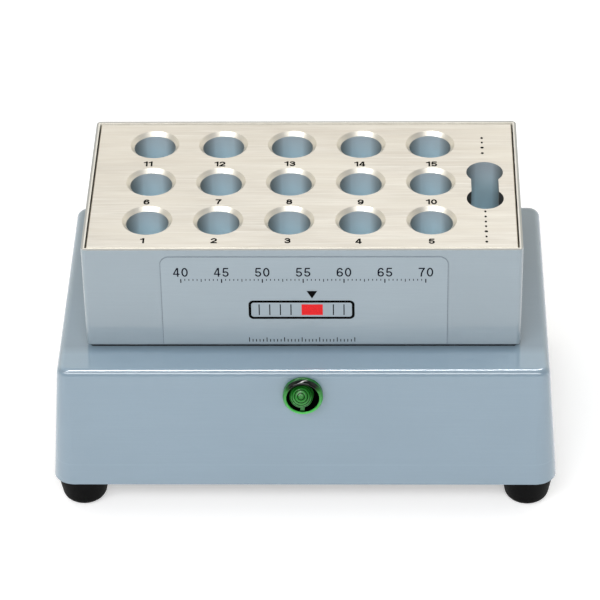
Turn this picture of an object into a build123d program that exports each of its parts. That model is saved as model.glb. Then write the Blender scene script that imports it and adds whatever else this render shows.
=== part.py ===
from build123d import *
import os
from math import asin, cos, radians, sin, tan

os.makedirs("parts", exist_ok=True)

# ---------------------------------------------------------------------------
# Driving dimensions, millimetres. Origin: on the floor, under the middle of
# the base. +X to the right as seen from the front, +Y to the back, +Z up.
# ---------------------------------------------------------------------------
BASE_W, BASE_D, BASE_H = 144.6, 88.4, 38.4   # base cover, at its lower edge
BASE_R = 6.2            # plan radius of its corners at the lower edge
DRAFT = 4.31            # degrees, all four sides lean inwards
WALL = 2.2              # moulded wall
TOP_R = 2.2             # rounding of the top edges
FOOT_H = 9.5            # rubber foot below the bottom plate
PLATE_T = 1.5           # bottom plate
PLATE_DROP = 0.5        # bottom plate shows this much below the cover
FOOT_X, FOOT_Y = 64.1, 35.8

HOUS_W, HOUS_D, HOUS_H = 123.0, 65.5, 33.0   # sheet housing round the block
HOUS_Y = 2.7            # housing centre is behind the base centre
SHEET = 1.0
GASKET_T = 1.0

PAD_T, CLAMP_T, MAT_T = 4.0, 0.8, 1.2        # stack under the block
BLOCK_W, BLOCK_D = 120.3, 63.0               # top flange of the block
BODY_W, BODY_D = 117.4, 59.4                 # block below the flange
FLANGE_T = 4.0
RIM = 0.2               # block top lies this far below the housing rim
WELL_D, WELL_CH, WELL_DEEP = 12.0, 1.1, 21.0
WELL_PX, WELL_PY = 20.0, 19.3
WELL_X, WELL_Y = -3.76, 1.44                 # well grid from the housing centre
SLOT_X, SLOT_D, SLOT_NECK, SLOT_DEEP = 51.7, 10.5, 7.8, 20.0
SLOT_Y1, SLOT_Y2 = 6.1, -7.2                 # slot circles, from the housing centre
WIN_W, WIN_D = 64.0, 26.0                    # window under the block
SCREW_X, SCREW_Y = 54.0, 24.0                # block screws, from the housing centre

LAMP_BELOW = 7.3        # lamp centre below the top of the base
INLET_X, SWITCH_X, REAR_Z = 36.0, -14.0, 28.4

# levels
Z_PLATE0 = FOOT_H
Z_COVER0 = Z_PLATE0 + PLATE_DROP
Z_PLATE1 = Z_PLATE0 + PLATE_T
Z_COVER1 = Z_COVER0 + BASE_H
Z_IN = Z_COVER1 - WALL
Z_HOUS0 = Z_COVER1 + GASKET_T
Z_FLOOR = Z_HOUS0 + SHEET
Z_HOUS1 = Z_HOUS0 + HOUS_H
Z_CLAMP0 = Z_FLOOR + PAD_T
Z_MAT0 = Z_CLAMP0 + CLAMP_T
Z_BLOCK0 = Z_MAT0 + MAT_T
Z_BLOCK1 = Z_HOUS1 - RIM
T = tan(radians(DRAFT))
C, S = cos(radians(DRAFT)), sin(radians(DRAFT))


def y_wall(z):
    return BASE_D / 2 - (z - Z_COVER0) * T


# planes on the leaning rear and front faces; local y points up the face
LAMP_Z = Z_COVER1 - LAMP_BELOW
FRONT = Plane(origin=(0, -y_wall(LAMP_Z), LAMP_Z), x_dir=(1, 0, 0), z_dir=(0, -C, S))


def on_rear(x, lift=0.0):
    """The rear plane's copy at x, raised by lift along its outward normal."""
    origin = (x, y_wall(REAR_Z) + lift * C, REAR_Z + lift * S)
    return Plane(origin=origin, x_dir=(-1, 0, 0), z_dir=(0, C, S))


SCREWS = [(sx * SCREW_X, HOUS_Y + sy * SCREW_Y) for sx in (-1, 1) for sy in (-1, 1)]
FEET = [(sx * FOOT_X, sy * FOOT_Y) for sx in (-1, 1) for sy in (-1, 1)]

# ---------------------------------------------------------------------------
# Base
# ---------------------------------------------------------------------------
with BuildPart() as base_cover:
    with BuildSketch(Plane.XY.offset(Z_COVER0)):
        RectangleRounded(BASE_W, BASE_D, BASE_R)
    extrude(amount=BASE_H, taper=DRAFT)
    fillet(base_cover.faces().sort_by(Axis.Z)[-1].edges(), TOP_R)
    with BuildSketch(Plane.XY.offset(Z_COVER0)):
        RectangleRounded(BASE_W - 2 * WALL, BASE_D - 2 * WALL, BASE_R - WALL)
    extrude(amount=BASE_H - WALL, taper=DRAFT, mode=Mode.SUBTRACT)
    # rebate that takes the bottom plate
    with BuildSketch(Plane.XY.offset(Z_COVER0)):
        RectangleRounded(BASE_W - 1.9, BASE_D - 1.9, BASE_R - 0.95)
    extrude(amount=PLATE_T - PLATE_DROP, mode=Mode.SUBTRACT)
    # four screw bosses over the feet
    with BuildSketch(Plane.XY.offset(Z_PLATE1)):
        with Locations(*FEET):
            Circle(4.0)
    extrude(amount=Z_IN - Z_PLATE1 + 0.5)
    with BuildSketch(Plane.XY.offset(Z_PLATE1)):
        with Locations(*FEET):
            Circle(1.55)
    extrude(amount=14, mode=Mode.SUBTRACT)
    # window and block screw holes in the top
    with BuildSketch(Plane.XY.offset(Z_IN - 1)):
        with Locations((0, HOUS_Y)):
            RectangleRounded(WIN_W, WIN_D, 3)
        with Locations(*SCREWS):
            Circle(1.7)
    extrude(amount=WALL + 3, mode=Mode.SUBTRACT)
    # pilot lamp hole
    with BuildSketch(FRONT.offset(1)):
        Circle(4.1)
    extrude(amount=-6, mode=Mode.SUBTRACT)
    # power inlet and switch cut-outs
    with BuildSketch(on_rear(-INLET_X, 1)):
        RectangleRounded(27.4, 26.9, 1.5)
        with Locations((-20, 0), (20, 0)):
            Circle(1.7)
    extrude(amount=-6, mode=Mode.SUBTRACT)
    with BuildSketch(on_rear(-SWITCH_X, 1)):
        Rectangle(13.1, 19.3)
    extrude(amount=-6, mode=Mode.SUBTRACT)
base_cover.part.label = "base_cover"
export_step(base_cover.part, "parts/base_cover.step")

TRIM_X = -20.0          # thermostat spindle axis, from the housing centre
with BuildPart() as base_plate:
    with BuildSketch(Plane.XY.offset(Z_PLATE0)):
        RectangleRounded(BASE_W - 2.1, BASE_D - 2.1, BASE_R - 1.05)
        with Locations(*FEET):
            Circle(1.8, mode=Mode.SUBTRACT)
        with Locations((TRIM_X, HOUS_Y)):
            Circle(3.5, mode=Mode.SUBTRACT)
        with Locations((40, 30)):
            Circle(2.05, mode=Mode.SUBTRACT)
        with Locations((12, -29), (42, -29)):
            Circle(1.55, mode=Mode.SUBTRACT)
    extrude(amount=PLATE_T)
base_plate.part.label = "base_plate"
export_step(base_plate.part, "parts/base_plate.step")

for name, (fx, fy) in zip(
    ("foot_front_left", "foot_rear_left", "foot_front_right", "foot_rear_right"), FEET
):
    with BuildPart() as foot:
        with BuildSketch(Plane.XZ):
            with BuildLine():
                l1 = Polyline((0, 0), (3.2, 0), (6.0, 0), (7.8, FOOT_H), (0, FOOT_H), (0, 0))
            make_face()
        revolve(axis=Axis.Z)
        fillet(
            foot.edges().filter_by(GeomType.CIRCLE).group_by(Axis.Z)[0].sort_by(SortBy.RADIUS)[-1],
            2.6,
        )
        # screw well and screw hole
        with BuildSketch(Plane.XY):
            Circle(3.0)
        extrude(amount=5.0, mode=Mode.SUBTRACT)
        with BuildSketch(Plane.XY):
            Circle(1.8)
        extrude(amount=FOOT_H, mode=Mode.SUBTRACT)
    placed = foot.part.moved(Location((fx, fy, 0)))
    placed.label = name
    export_step(placed, f"parts/{name}.step")

with BuildPart() as foot_screws:
    for fx, fy in FEET:
        with BuildSketch(Plane.XY.offset(5.0)):
            with Locations((fx, fy)):
                Circle(1.5)
        extrude(amount=16)
        with BuildSketch(Plane.XY.offset(2.7)):
            with Locations((fx, fy)):
                Circle(2.6)
        extrude(amount=2.3)
        with BuildSketch(Plane.XY.offset(2.7)):
            with Locations((fx, fy)):
                Rectangle(4.0, 0.9)
                Rectangle(0.9, 4.0)
        extrude(amount=1.2, mode=Mode.SUBTRACT)
foot_screws.part.label = "foot_screws"
export_step(foot_screws.part, "parts/foot_screws.step")

# ---------------------------------------------------------------------------
# Housing and what is in it
# ---------------------------------------------------------------------------
with BuildPart() as housing_gasket:
    with BuildSketch(Plane.XY.offset(Z_COVER1)):
        with Locations((0, HOUS_Y)):
            RectangleRounded(HOUS_W - 2.0, HOUS_D - 2.0, 1.0)
            RectangleRounded(WIN_W, WIN_D, 3, mode=Mode.SUBTRACT)
        with Locations(*SCREWS):
            Circle(1.7, mode=Mode.SUBTRACT)
    extrude(amount=GASKET_T)
housing_gasket.part.label = "housing_gasket"
export_step(housing_gasket.part, "parts/housing_gasket.step")

with BuildPart() as block_housing:
    with BuildSketch(Plane.XY.offset(Z_HOUS0)):
        with Locations((0, HOUS_Y)):
            RectangleRounded(HOUS_W, HOUS_D, 1.4)
    extrude(amount=HOUS_H)
    fillet(block_housing.faces().sort_by(Axis.Z)[0].edges(), 0.6)
    with BuildSketch(Plane.XY.offset(Z_FLOOR)):
        with Locations((0, HOUS_Y)):
            RectangleRounded(HOUS_W - 2 * SHEET, HOUS_D - 2 * SHEET, 0.5)
    extrude(amount=HOUS_H, mode=Mode.SUBTRACT)
    with BuildSketch(Plane.XY.offset(Z_HOUS0 - 1)):
        with Locations((0, HOUS_Y)):
            RectangleRounded(WIN_W, WIN_D, 3)
        with Locations(*SCREWS):
            Circle(1.7)
    extrude(amount=SHEET + 2, mode=Mode.SUBTRACT)
block_housing.part.label = "block_housing"
export_step(block_housing.part, "parts/block_housing.step")

with BuildPart() as insulation_pad:
    with BuildSketch(Plane.XY.offset(Z_FLOOR)):
        with Locations((0, HOUS_Y)):
            RectangleRounded(HOUS_W - 2 * SHEET - 0.4, HOUS_D - 2 * SHEET - 0.4, 0.8)
            RectangleRounded(WIN_W, WIN_D, 3, mode=Mode.SUBTRACT)
        with Locations(*SCREWS):
            Circle(3.6, mode=Mode.SUBTRACT)
    extrude(amount=PAD_T)
insulation_pad.part.label = "insulation_pad"
export_step(insulation_pad.part, "parts/insulation_pad.step")

with BuildPart() as insulation_wrap:
    with BuildSketch(Plane.XY.offset(Z_CLAMP0)):
        with Locations((0, HOUS_Y)):
            RectangleRounded(HOUS_W - 2 * SHEET - 0.4, HOUS_D - 2 * SHEET - 0.4, 0.8)
            Rectangle(BODY_W + 0.2, BODY_D + 0.2, mode=Mode.SUBTRACT)
    extrude(amount=Z_BLOCK1 - FLANGE_T - Z_CLAMP0 - 0.1)
insulation_wrap.part.label = "insulation_wrap"
export_step(insulation_wrap.part, "parts/insulation_wrap.step")

with BuildPart() as block_spacers:
    with BuildSketch(Plane.XY.offset(Z_FLOOR)):
        with Locations(*SCREWS):
            Circle(3.5)
        with Locations(*SCREWS):
            Circle(1.7, mode=Mode.SUBTRACT)
    extrude(amount=PAD_T)
block_spacers.part.label = "block_spacers"
export_step(block_spacers.part, "parts/block_spacers.step")

for name, z0, thick, w, d in (
    ("heater_clamp_plate", Z_CLAMP0, CLAMP_T, 116.6, 58.6),
    ("heater_mat", Z_MAT0, MAT_T, 115.0, 57.0),
):
    with BuildPart() as sheet:
        with BuildSketch(Plane.XY.offset(z0)):
            with Locations((0, HOUS_Y)):
                RectangleRounded(w, d, 2)
                RectangleRounded(WIN_W, WIN_D, 3, mode=Mode.SUBTRACT)
            with Locations(*SCREWS):
                Circle(1.7, mode=Mode.SUBTRACT)
        extrude(amount=thick)
    sheet.part.label = name
    export_step(sheet.part, f"parts/{name}.step")

WELLS = [
    (WELL_X + i * WELL_PX, HOUS_Y + WELL_Y + j * WELL_PY)
    for j in (-1, 0, 1)
    for i in (-2, -1, 0, 1, 2)
]
CUT_X = 16.0            # thermal cut-out, from the housing centre
UNDER = [(TRIM_X - 7.5, HOUS_Y), (TRIM_X + 16.0, HOUS_Y), (CUT_X - 11.9, HOUS_Y), (CUT_X + 11.9, HOUS_Y)]
with BuildPart() as heating_block:
    with BuildSketch(Plane.XY.offset(Z_BLOCK0)):
        with Locations((0, HOUS_Y)):
            Rectangle(BODY_W, BODY_D)
    extrude(amount=Z_BLOCK1 - Z_BLOCK0)
    with BuildSketch(Plane.XY.offset(Z_BLOCK1 - FLANGE_T)):
        with Locations((0, HOUS_Y)):
            Rectangle(BLOCK_W, BLOCK_D)
    extrude(amount=FLANGE_T)
    chamfer(heating_block.faces().sort_by(Axis.Z)[-1].edges(), 0.25)
    with BuildSketch(Plane.XY.offset(Z_BLOCK1)):
        with Locations(*WELLS):
            Circle(WELL_D / 2)
    extrude(amount=-WELL_DEEP, mode=Mode.SUBTRACT)
    chamfer(
        heating_block.edges()
        .filter_by(GeomType.CIRCLE)
        .group_by(Axis.Z)[-1],
        WELL_CH,
    )
    # keyhole slot: two round pockets joined by a neck
    with BuildSketch(Plane.XY.offset(Z_BLOCK1)):
        with Locations((SLOT_X, HOUS_Y + SLOT_Y1), (SLOT_X - 0.15, HOUS_Y + SLOT_Y2)):
            Circle(SLOT_D / 2)
        with Locations((SLOT_X - 0.05, HOUS_Y + (SLOT_Y1 + SLOT_Y2) / 2)):
            Rectangle(SLOT_NECK, SLOT_Y1 - SLOT_Y2)
    extrude(amount=-SLOT_DEEP, mode=Mode.SUBTRACT)
    # blind screw holes from below
    with BuildSketch(Plane.XY.offset(Z_BLOCK0)):
        with Locations(*SCREWS):
            Circle(1.55)
    extrude(amount=9, mode=Mode.SUBTRACT)
    with BuildSketch(Plane.XY.offset(Z_BLOCK0)):
        with Locations(*UNDER):
            Circle(1.3)
    extrude(amount=3.4, mode=Mode.SUBTRACT)
heating_block.part.label = "heating_block"
export_step(heating_block.part, "parts/heating_block.step")

with BuildPart() as block_screws:
    for px, py in SCREWS:
        with BuildSketch(Plane.XY.offset(Z_IN - 0.6)):
            with Locations((px, py)):
                Circle(1.5)
        extrude(amount=Z_BLOCK0 - Z_IN + 0.6 + 8)
        with BuildSketch(Plane.XY.offset(Z_IN - 0.6)):
            with Locations((px, py)):
                Circle(3.5)
        extrude(amount=0.6)
        with BuildSketch(Plane.XY.offset(Z_IN - 2.8)):
            with Locations((px, py)):
                Circle(2.75)
        extrude(amount=2.2)
        with BuildSketch(Plane.XY.offset(Z_IN - 2.8)):
            with Locations((px, py)):
                RegularPolygon(1.4, 6)
        extrude(amount=1.2, mode=Mode.SUBTRACT)
block_screws.part.label = "block_screws"
export_step(block_screws.part, "parts/block_screws.step")

with BuildPart() as front_label:
    with BuildSketch(Plane(origin=(0, HOUS_Y - HOUS_D / 2, 0), x_dir=(1, 0, 0), z_dir=(0, -1, 0))):
        with Locations((0.57, (Z_HOUS0 + 0.7 + Z_HOUS1 - 2.2) / 2)):
            lab = Rectangle(80.4, HOUS_H - 2.9)
        fillet(lab.vertices().group_by(Axis.Y)[-1], 2.6)
    extrude(amount=0.15)
front_label.part.label = "front_label"
export_step(front_label.part, "parts/front_label.step")

# ---------------------------------------------------------------------------
# Thermostat and thermal cut-out, under the block in the window
# ---------------------------------------------------------------------------
Z_FR = Z_BLOCK0 - 1.5
with BuildPart() as thermostat_frame:
    with BuildSketch(Plane.XY.offset(Z_FR)):
        with Locations((TRIM_X + 4.25, HOUS_Y)):
            RectangleRounded(29.5, 10, 1.5)
        with Locations((TRIM_X - 7.5, HOUS_Y), (TRIM_X + 16.0, HOUS_Y)):
            Circle(1.5, mode=Mode.SUBTRACT)
    extrude(amount=1.5)
    with BuildSketch(Plane.XY.offset(Z_FR - 7)):
        with Locations((TRIM_X, HOUS_Y)):
            Circle(4.0)
    extrude(amount=7)
    with BuildSketch(Plane.XY.offset(Z_FR - 7)):
        with Locations((TRIM_X, HOUS_Y)):
            Circle(2.55)
    extrude(amount=7, mode=Mode.SUBTRACT)
thermostat_frame.part.label = "thermostat_frame"
export_step(thermostat_frame.part, "parts/thermostat_frame.step")

with BuildPart() as thermostat_spindle:
    with BuildSketch(Plane.XY.offset(Z_FR - 0.4)):
        with Locations((TRIM_X, HOUS_Y)):
            Circle(2.5)
    extrude(amount=-(Z_FR - 0.4 - 20))
    with BuildSketch(Plane.XY.offset(Z_FR - 12)):
        with Locations((TRIM_X, HOUS_Y)):
            Circle(4.2)
    extrude(amount=-2.0)
    with BuildSketch(Plane.XY.offset(20)):
        with Locations((TRIM_X, HOUS_Y)):
            Rectangle(6, 0.9)
    extrude(amount=1.6, mode=Mode.SUBTRACT)
thermostat_spindle.part.label = "thermostat_spindle"
export_step(thermostat_spindle.part, "parts/thermostat_spindle.step")

Z_ST = Z_FR - 6.4       # bottom of the ceramic stack
with BuildPart() as thermostat_stack:
    with BuildSketch(Plane.XY.offset(Z_ST)):
        with Locations((TRIM_X + 9.7, HOUS_Y)):
            Circle(3.5)
    extrude(amount=2.4)
    with BuildSketch(Plane.XY.offset(Z_ST + 3.2)):
        with Locations((TRIM_X + 9.7, HOUS_Y)):
            Circle(3.5)
    extrude(amount=3.2)
thermostat_stack.part.label = "thermostat_stack"
export_step(thermostat_stack.part, "parts/thermostat_stack.step")

with BuildPart() as thermostat_blade:
    with BuildSketch(Plane.XY.offset(Z_ST + 2.4)):
        with Locations((TRIM_X + 9.05, HOUS_Y)):
            Rectangle(9.9, 6.4)
        with Locations((TRIM_X + 9.7, HOUS_Y - 7.5)):
            Rectangle(4.8, 9)
    extrude(amount=0.8)
thermostat_blade.part.label = "thermostat_blade"
export_step(thermostat_blade.part, "parts/thermostat_blade.step")

with BuildPart() as thermal_cutout:
    with BuildSketch(Plane.XY.offset(Z_BLOCK0 - 1.0)):
        with Locations((CUT_X, HOUS_Y)):
            SlotOverall(31.0, 7.2)
            Circle(8.4)
        with Locations((CUT_X - 11.9, HOUS_Y), (CUT_X + 11.9, HOUS_Y)):
            Circle(1.5, mode=Mode.SUBTRACT)
    extrude(amount=1.0)
    with BuildSketch(Plane.XY.offset(Z_BLOCK0 - 8.5)):
        with Locations((CUT_X, HOUS_Y)):
            Circle(7.6)
    extrude(amount=7.5)
    with BuildSketch(Plane.XY.offset(Z_BLOCK0 - 15.5)):
        with Locations((CUT_X - 4.2, HOUS_Y), (CUT_X + 4.2, HOUS_Y)):
            Rectangle(0.8, 6.3)
    extrude(amount=7.0)
thermal_cutout.part.label = "thermal_cutout"
export_step(thermal_cutout.part, "parts/thermal_cutout.step")

with BuildPart() as sensor_screws:
    for (ux, uy), head in zip(UNDER, (Z_FR, Z_FR, Z_BLOCK0 - 1.0, Z_BLOCK0 - 1.0)):
        with BuildSketch(Plane.XY.offset(head)):
            with Locations((ux, uy)):
                Circle(1.25)
        extrude(amount=Z_BLOCK0 - head + 3.0)
        with BuildSketch(Plane.XY.offset(head)):
            with Locations((ux, uy)):
                Circle(2.3)
        extrude(amount=-1.7)
        with BuildSketch(Plane.XY.offset(head - 1.7)):
            with Locations((ux, uy)):
                Rectangle(3.4, 0.7)
        extrude(amount=0.8, mode=Mode.SUBTRACT)
sensor_screws.part.label = "sensor_screws"
export_step(sensor_screws.part, "parts/sensor_screws.step")

# ---------------------------------------------------------------------------
# Pilot lamp in the front wall
# ---------------------------------------------------------------------------
LENS_R, LENS_Z0, LENS_Z1 = 3.4, 1.3, 4.4      # domed centre
DOME = (LENS_R**2 + (LENS_Z1 - LENS_Z0) ** 2) / (2 * (LENS_Z1 - LENS_Z0))
HALF = asin(LENS_R / DOME) / 2
with BuildPart() as pilot_lens:
    with BuildSketch(Plane.XZ):
        with BuildLine():
            Polyline((0, LENS_Z1), (0, 1.2), (2.6, 1.2), (2.6, -6.0), (3.2, -6.0), (3.2, 0), (5.7, 0), (5.7, 2.0), (5.1, 2.9), (4.65, 2.9), (4.6, 0.35), (3.45, 0.35), (LENS_R, LENS_Z0))
            ThreePointArc((LENS_R, LENS_Z0), (DOME * sin(HALF), LENS_Z1 - DOME * (1 - cos(HALF))), (0, LENS_Z1))
        make_face()
    revolve(axis=Axis.Z)
pilot = pilot_lens.part.moved(FRONT.location)
pilot.label = "pilot_lens"
export_step(pilot, "parts/pilot_lens.step")

with BuildPart() as pilot_body:
    with BuildSketch(Plane.XY.offset(-16)):
        Circle(4.0)
    extrude(amount=16)
    with BuildSketch(Plane.XY.offset(-14)):
        Circle(3.25)
    extrude(amount=14, mode=Mode.SUBTRACT)
    with BuildSketch(Plane.XY.offset(-16)):
        with Locations((-1.27, 0), (1.27, 0)):
            Circle(0.35)
    extrude(amount=3, mode=Mode.SUBTRACT)
body = pilot_body.part.moved(FRONT.location)
body.label = "pilot_body"
export_step(body, "parts/pilot_body.step")

with BuildPart() as pilot_clip:
    with BuildSketch(Plane.XY.offset(-WALL * C - 0.1)):
        Circle(4.9)
        Circle(4.05, mode=Mode.SUBTRACT)
    extrude(amount=-0.8)
clip = pilot_clip.part.moved(FRONT.location)
clip.label = "pilot_clip"
export_step(clip, "parts/pilot_clip.step")

with BuildPart() as pilot_bulb:
    with BuildSketch(Plane.XY.offset(-8)):
        Circle(2.4)
    extrude(amount=6.5)
    fillet(pilot_bulb.faces().sort_by(Axis.Z)[-1].edges(), 2.2)
    with BuildSketch(Plane.XY.offset(-8)):
        Circle(2.9)
    extrude(amount=1.0)
    with BuildSketch(Plane.XY.offset(-19)):
        with Locations((-1.27, 0), (1.27, 0)):
            Circle(0.3)
    extrude(amount=11.0)
bulb = pilot_bulb.part.moved(FRONT.location)
bulb.label = "pilot_bulb"
export_step(bulb, "parts/pilot_bulb.step")

# ---------------------------------------------------------------------------
# Power inlet with fuse drawer, rear left as seen from behind
# Local plane: x to the left of the object, y up, z out of the rear face
# ---------------------------------------------------------------------------
INLET_T = 1.8           # flange
IN = on_rear(-INLET_X)
with BuildPart() as inlet_body:
    with BuildSketch(IN):
        RectangleRounded(50, 29.0, 3)
        with Locations((-20, 0), (20, 0)):
            Circle(1.7, mode=Mode.SUBTRACT)
    extrude(amount=INLET_T)
    with BuildSketch(IN):
        RectangleRounded(27.0, 26.5, 1.2)
    extrude(amount=-22)
    # counterbores for the two flange screws
    with BuildSketch(IN.offset(INLET_T)):
        with Locations((-20, 0), (20, 0)):
            Circle(3.1)
    extrude(amount=-1.3, mode=Mode.SUBTRACT)
    # socket cavity with two cut corners
    with BuildSketch(IN.offset(INLET_T)):
        with Locations((0, 3.6)):
            cav = Rectangle(24.2, 16.2)
        chamfer(cav.vertices().group_by(Axis.Y)[-1], 4.2)
    extrude(amount=-15.0 - INLET_T, mode=Mode.SUBTRACT)
    # fuse drawer pocket
    with BuildSketch(IN.offset(INLET_T)):
        with Locations((0, -8.9)):
            Rectangle(23.0, 7.2)
    extrude(amount=-19.5 - INLET_T, mode=Mode.SUBTRACT)
    # pin holes
    with BuildSketch(IN.offset(-15)):
        with Locations((-7, 1.6), (7, 1.6), (0, 5.6)):
            Rectangle(2.0, 4.0)
    extrude(amount=-7, mode=Mode.SUBTRACT)
inlet_body.part.label = "inlet_body"
export_step(inlet_body.part, "parts/inlet_body.step")

with BuildPart() as inlet_pins:
    with BuildSketch(IN.offset(-25)):
        with Locations((-7, 1.6), (7, 1.6), (0, 5.6)):
            Rectangle(2.0, 4.0)
    extrude(amount=25.0)
inlet_pins.part.label = "inlet_pins"
export_step(inlet_pins.part, "parts/inlet_pins.step")

with BuildPart() as inlet_screws:
    for sx in (-20, 20):
        with BuildSketch(IN.offset(INLET_T - 1.3)):
            with Locations((sx, 0)):
                Circle(2.8)
        extrude(amount=1.5)
        with BuildSketch(IN.offset(INLET_T - 1.3)):
            with Locations((sx, 0)):
                Circle(1.45)
        extrude(amount=-7.5)
        with BuildSketch(IN.offset(INLET_T + 0.2)):
            with Locations((sx, 0)):
                Rectangle(3.4, 0.7)
                Rectangle(0.7, 3.4)
        extrude(amount=-0.8, mode=Mode.SUBTRACT)
inlet_screws.part.label = "inlet_screws"
export_step(inlet_screws.part, "parts/inlet_screws.step")

with BuildPart() as inlet_nuts:
    for sx in (-20, 20):
        with BuildSketch(IN.offset(-WALL * C - 0.05)):
            with Locations((sx, 0)):
                RegularPolygon(3.1, 6)
                Circle(1.5, mode=Mode.SUBTRACT)
        extrude(amount=-2.4)
inlet_nuts.part.label = "inlet_nuts"
export_step(inlet_nuts.part, "parts/inlet_nuts.step")

with BuildPart() as fuse_drawer:
    with BuildSketch(IN.offset(INLET_T)):
        with Locations((0, -8.9)):
            RectangleRounded(22.4, 6.6, 0.6)
    extrude(amount=-18.4 - INLET_T)
    # fuse bay across the drawer and a spare bay nearer the front, open at the top
    for z0 in (-10.9, -2.6):
        with BuildSketch(IN.offset(z0)):
            with Locations((0, -7.9)):
                Rectangle(20.8, 6.6)
        extrude(amount=-5.7, mode=Mode.SUBTRACT)
    # finger notch under the front lip
    with BuildSketch(IN.offset(INLET_T)):
        with Locations((0, -11.9)):
            Rectangle(8.0, 1.6)
    extrude(amount=-2.2, mode=Mode.SUBTRACT)
fuse_drawer.part.label = "fuse_drawer"
export_step(fuse_drawer.part, "parts/fuse_drawer.step")

# glass tube with two end caps, lying across the drawer
FU = Plane(origin=IN.from_local_coords((-10.0, -8.65, -13.75)), x_dir=(0, C, S), z_dir=(-1, 0, 0))
with BuildPart() as fuse_link:
    with BuildSketch(FU):
        Circle(2.3)
    extrude(amount=20.0)
    for z0 in (0.0, 15.0):
        with BuildSketch(FU.offset(z0)):
            Circle(2.5)
        extrude(amount=5.0)
fuse_link.part.label = "fuse_link"
export_step(fuse_link.part, "parts/fuse_link.step")

# ---------------------------------------------------------------------------
# Rocker switch
# ---------------------------------------------------------------------------
SW = on_rear(-SWITCH_X)
with BuildPart() as switch_body:
    with BuildSketch(SW):
        RectangleRounded(15.0, 21.0, 1.5)
    extrude(amount=1.6)
    with BuildSketch(SW):
        Rectangle(12.8, 18.8)
    extrude(amount=-13.0)
    with BuildSketch(SW.offset(1.6)):
        Rectangle(11.0, 16.8)
    extrude(amount=-10.6, mode=Mode.SUBTRACT)
    with BuildSketch(SW.offset(-13)):
        with Locations((0, 5.5), (0, -5.5)):
            Rectangle(4.8, 0.8)
    extrude(amount=-7.5)
switch_body.part.label = "switch_body"
export_step(switch_body.part, "parts/switch_body.step")

ROCK = 11.0             # degrees either side of level
TILT = radians(ROCK - DRAFT)    # off: the top half stands out
RP = Plane(origin=SW.from_local_coords((0, 0, -2.4)), x_dir=(0, sin(TILT), cos(TILT)), z_dir=(-1, 0, 0))
with BuildPart() as switch_rocker:
    with BuildSketch(RP.offset(-5.1)):
        with BuildLine():
            Polyline((-7.5, 3.2), (0, 1.9), (7.5, 3.2), (7.2, -1.4))
            ThreePointArc((7.2, -1.4), (0, -6.2), (-7.2, -1.4))
            Line((-7.2, -1.4), (-7.5, 3.2))
        make_face()
    extrude(amount=10.2)
switch_rocker.part.label = "switch_rocker"
export_step(switch_rocker.part, "parts/switch_rocker.step")

# ---------------------------------------------------------------------------
# Rating plate (blank), terminal block, earth stud
# ---------------------------------------------------------------------------
with BuildPart() as rating_plate:
    with BuildSketch(on_rear(44.0)):
        RectangleRounded(34, 20, 1.5)
    extrude(amount=0.3)
rating_plate.part.label = "rating_plate"
export_step(rating_plate.part, "parts/rating_plate.step")

with BuildPart() as terminal_block:
    with BuildSketch(Plane.XY.offset(Z_PLATE1)):
        with Locations((27, -29)):
            Rectangle(36, 12)
        with Locations((12, -29), (42, -29)):
            Circle(1.6, mode=Mode.SUBTRACT)
    extrude(amount=3.0)
    with BuildSketch(Plane.XY.offset(Z_PLATE1 + 3.0)):
        with Locations((18.6, -29), (27, -29), (35.4, -29)):
            Rectangle(7.2, 12)
    extrude(amount=9.0)
    with BuildSketch(Plane.XY.offset(Z_PLATE1 + 12.0)):
        with Locations(*[(x, y) for x in (18.6, 27, 35.4) for y in (-32, -26)]):
            Circle(1.9)
    extrude(amount=-5.0, mode=Mode.SUBTRACT)
terminal_block.part.label = "terminal_block"
export_step(terminal_block.part, "parts/terminal_block.step")

with BuildPart() as terminal_screws:
    for x in (18.6, 27, 35.4):
        for y in (-32, -26):
            with BuildSketch(Plane.XY.offset(Z_PLATE1 + 7.0)):
                with Locations((x, y)):
                    Circle(1.8)
            extrude(amount=2.6)
            with BuildSketch(Plane.XY.offset(Z_PLATE1 + 9.6)):
                with Locations((x, y)):
                    Rectangle(3.0, 0.6)
            extrude(amount=-0.8, mode=Mode.SUBTRACT)
    for x in (12, 42):
        with BuildSketch(Plane.XY.offset(Z_PLATE0)):
            with Locations((x, -29)):
                Circle(1.45)
        extrude(amount=4.5)
        with BuildSketch(Plane.XY.offset(Z_PLATE0 + 4.5)):
            with Locations((x, -29)):
                Circle(2.6)
        extrude(amount=2.0)
        with BuildSketch(Plane.XY.offset(Z_PLATE0 + 6.5)):
            with Locations((x, -29)):
                Rectangle(3.4, 0.7)
                Rectangle(0.7, 3.4)
        extrude(amount=-0.9, mode=Mode.SUBTRACT)
terminal_screws.part.label = "terminal_screws"
export_step(terminal_screws.part, "parts/terminal_screws.step")

with BuildPart() as earth_screw:
    with BuildSketch(Plane.XY.offset(Z_PLATE0)):
        with Locations((40, 30)):
            Circle(2.0)
    extrude(amount=12.5)
    with BuildSketch(Plane.XY.offset(Z_PLATE0)):
        with Locations((40, 30)):
            Circle(3.6)
    extrude(amount=-2.2)
    with BuildSketch(Plane.XY.offset(Z_PLATE0 - 2.2)):
        with Locations((40, 30)):
            Rectangle(4.4, 0.9)
            Rectangle(0.9, 4.4)
    extrude(amount=1.3, mode=Mode.SUBTRACT)
earth_screw.part.label = "earth_screw"
export_step(earth_screw.part, "parts/earth_screw.step")

with BuildPart() as earth_nuts:
    for z0 in (Z_PLATE1, Z_PLATE1 + 4.2):
        with BuildSketch(Plane.XY.offset(z0)):
            with Locations((40, 30)):
                RegularPolygon(4.0, 6)
                Circle(2.02, mode=Mode.SUBTRACT)
        extrude(amount=3.2)
earth_nuts.part.label = "earth_nuts"
export_step(earth_nuts.part, "parts/earth_nuts.step")

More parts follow.
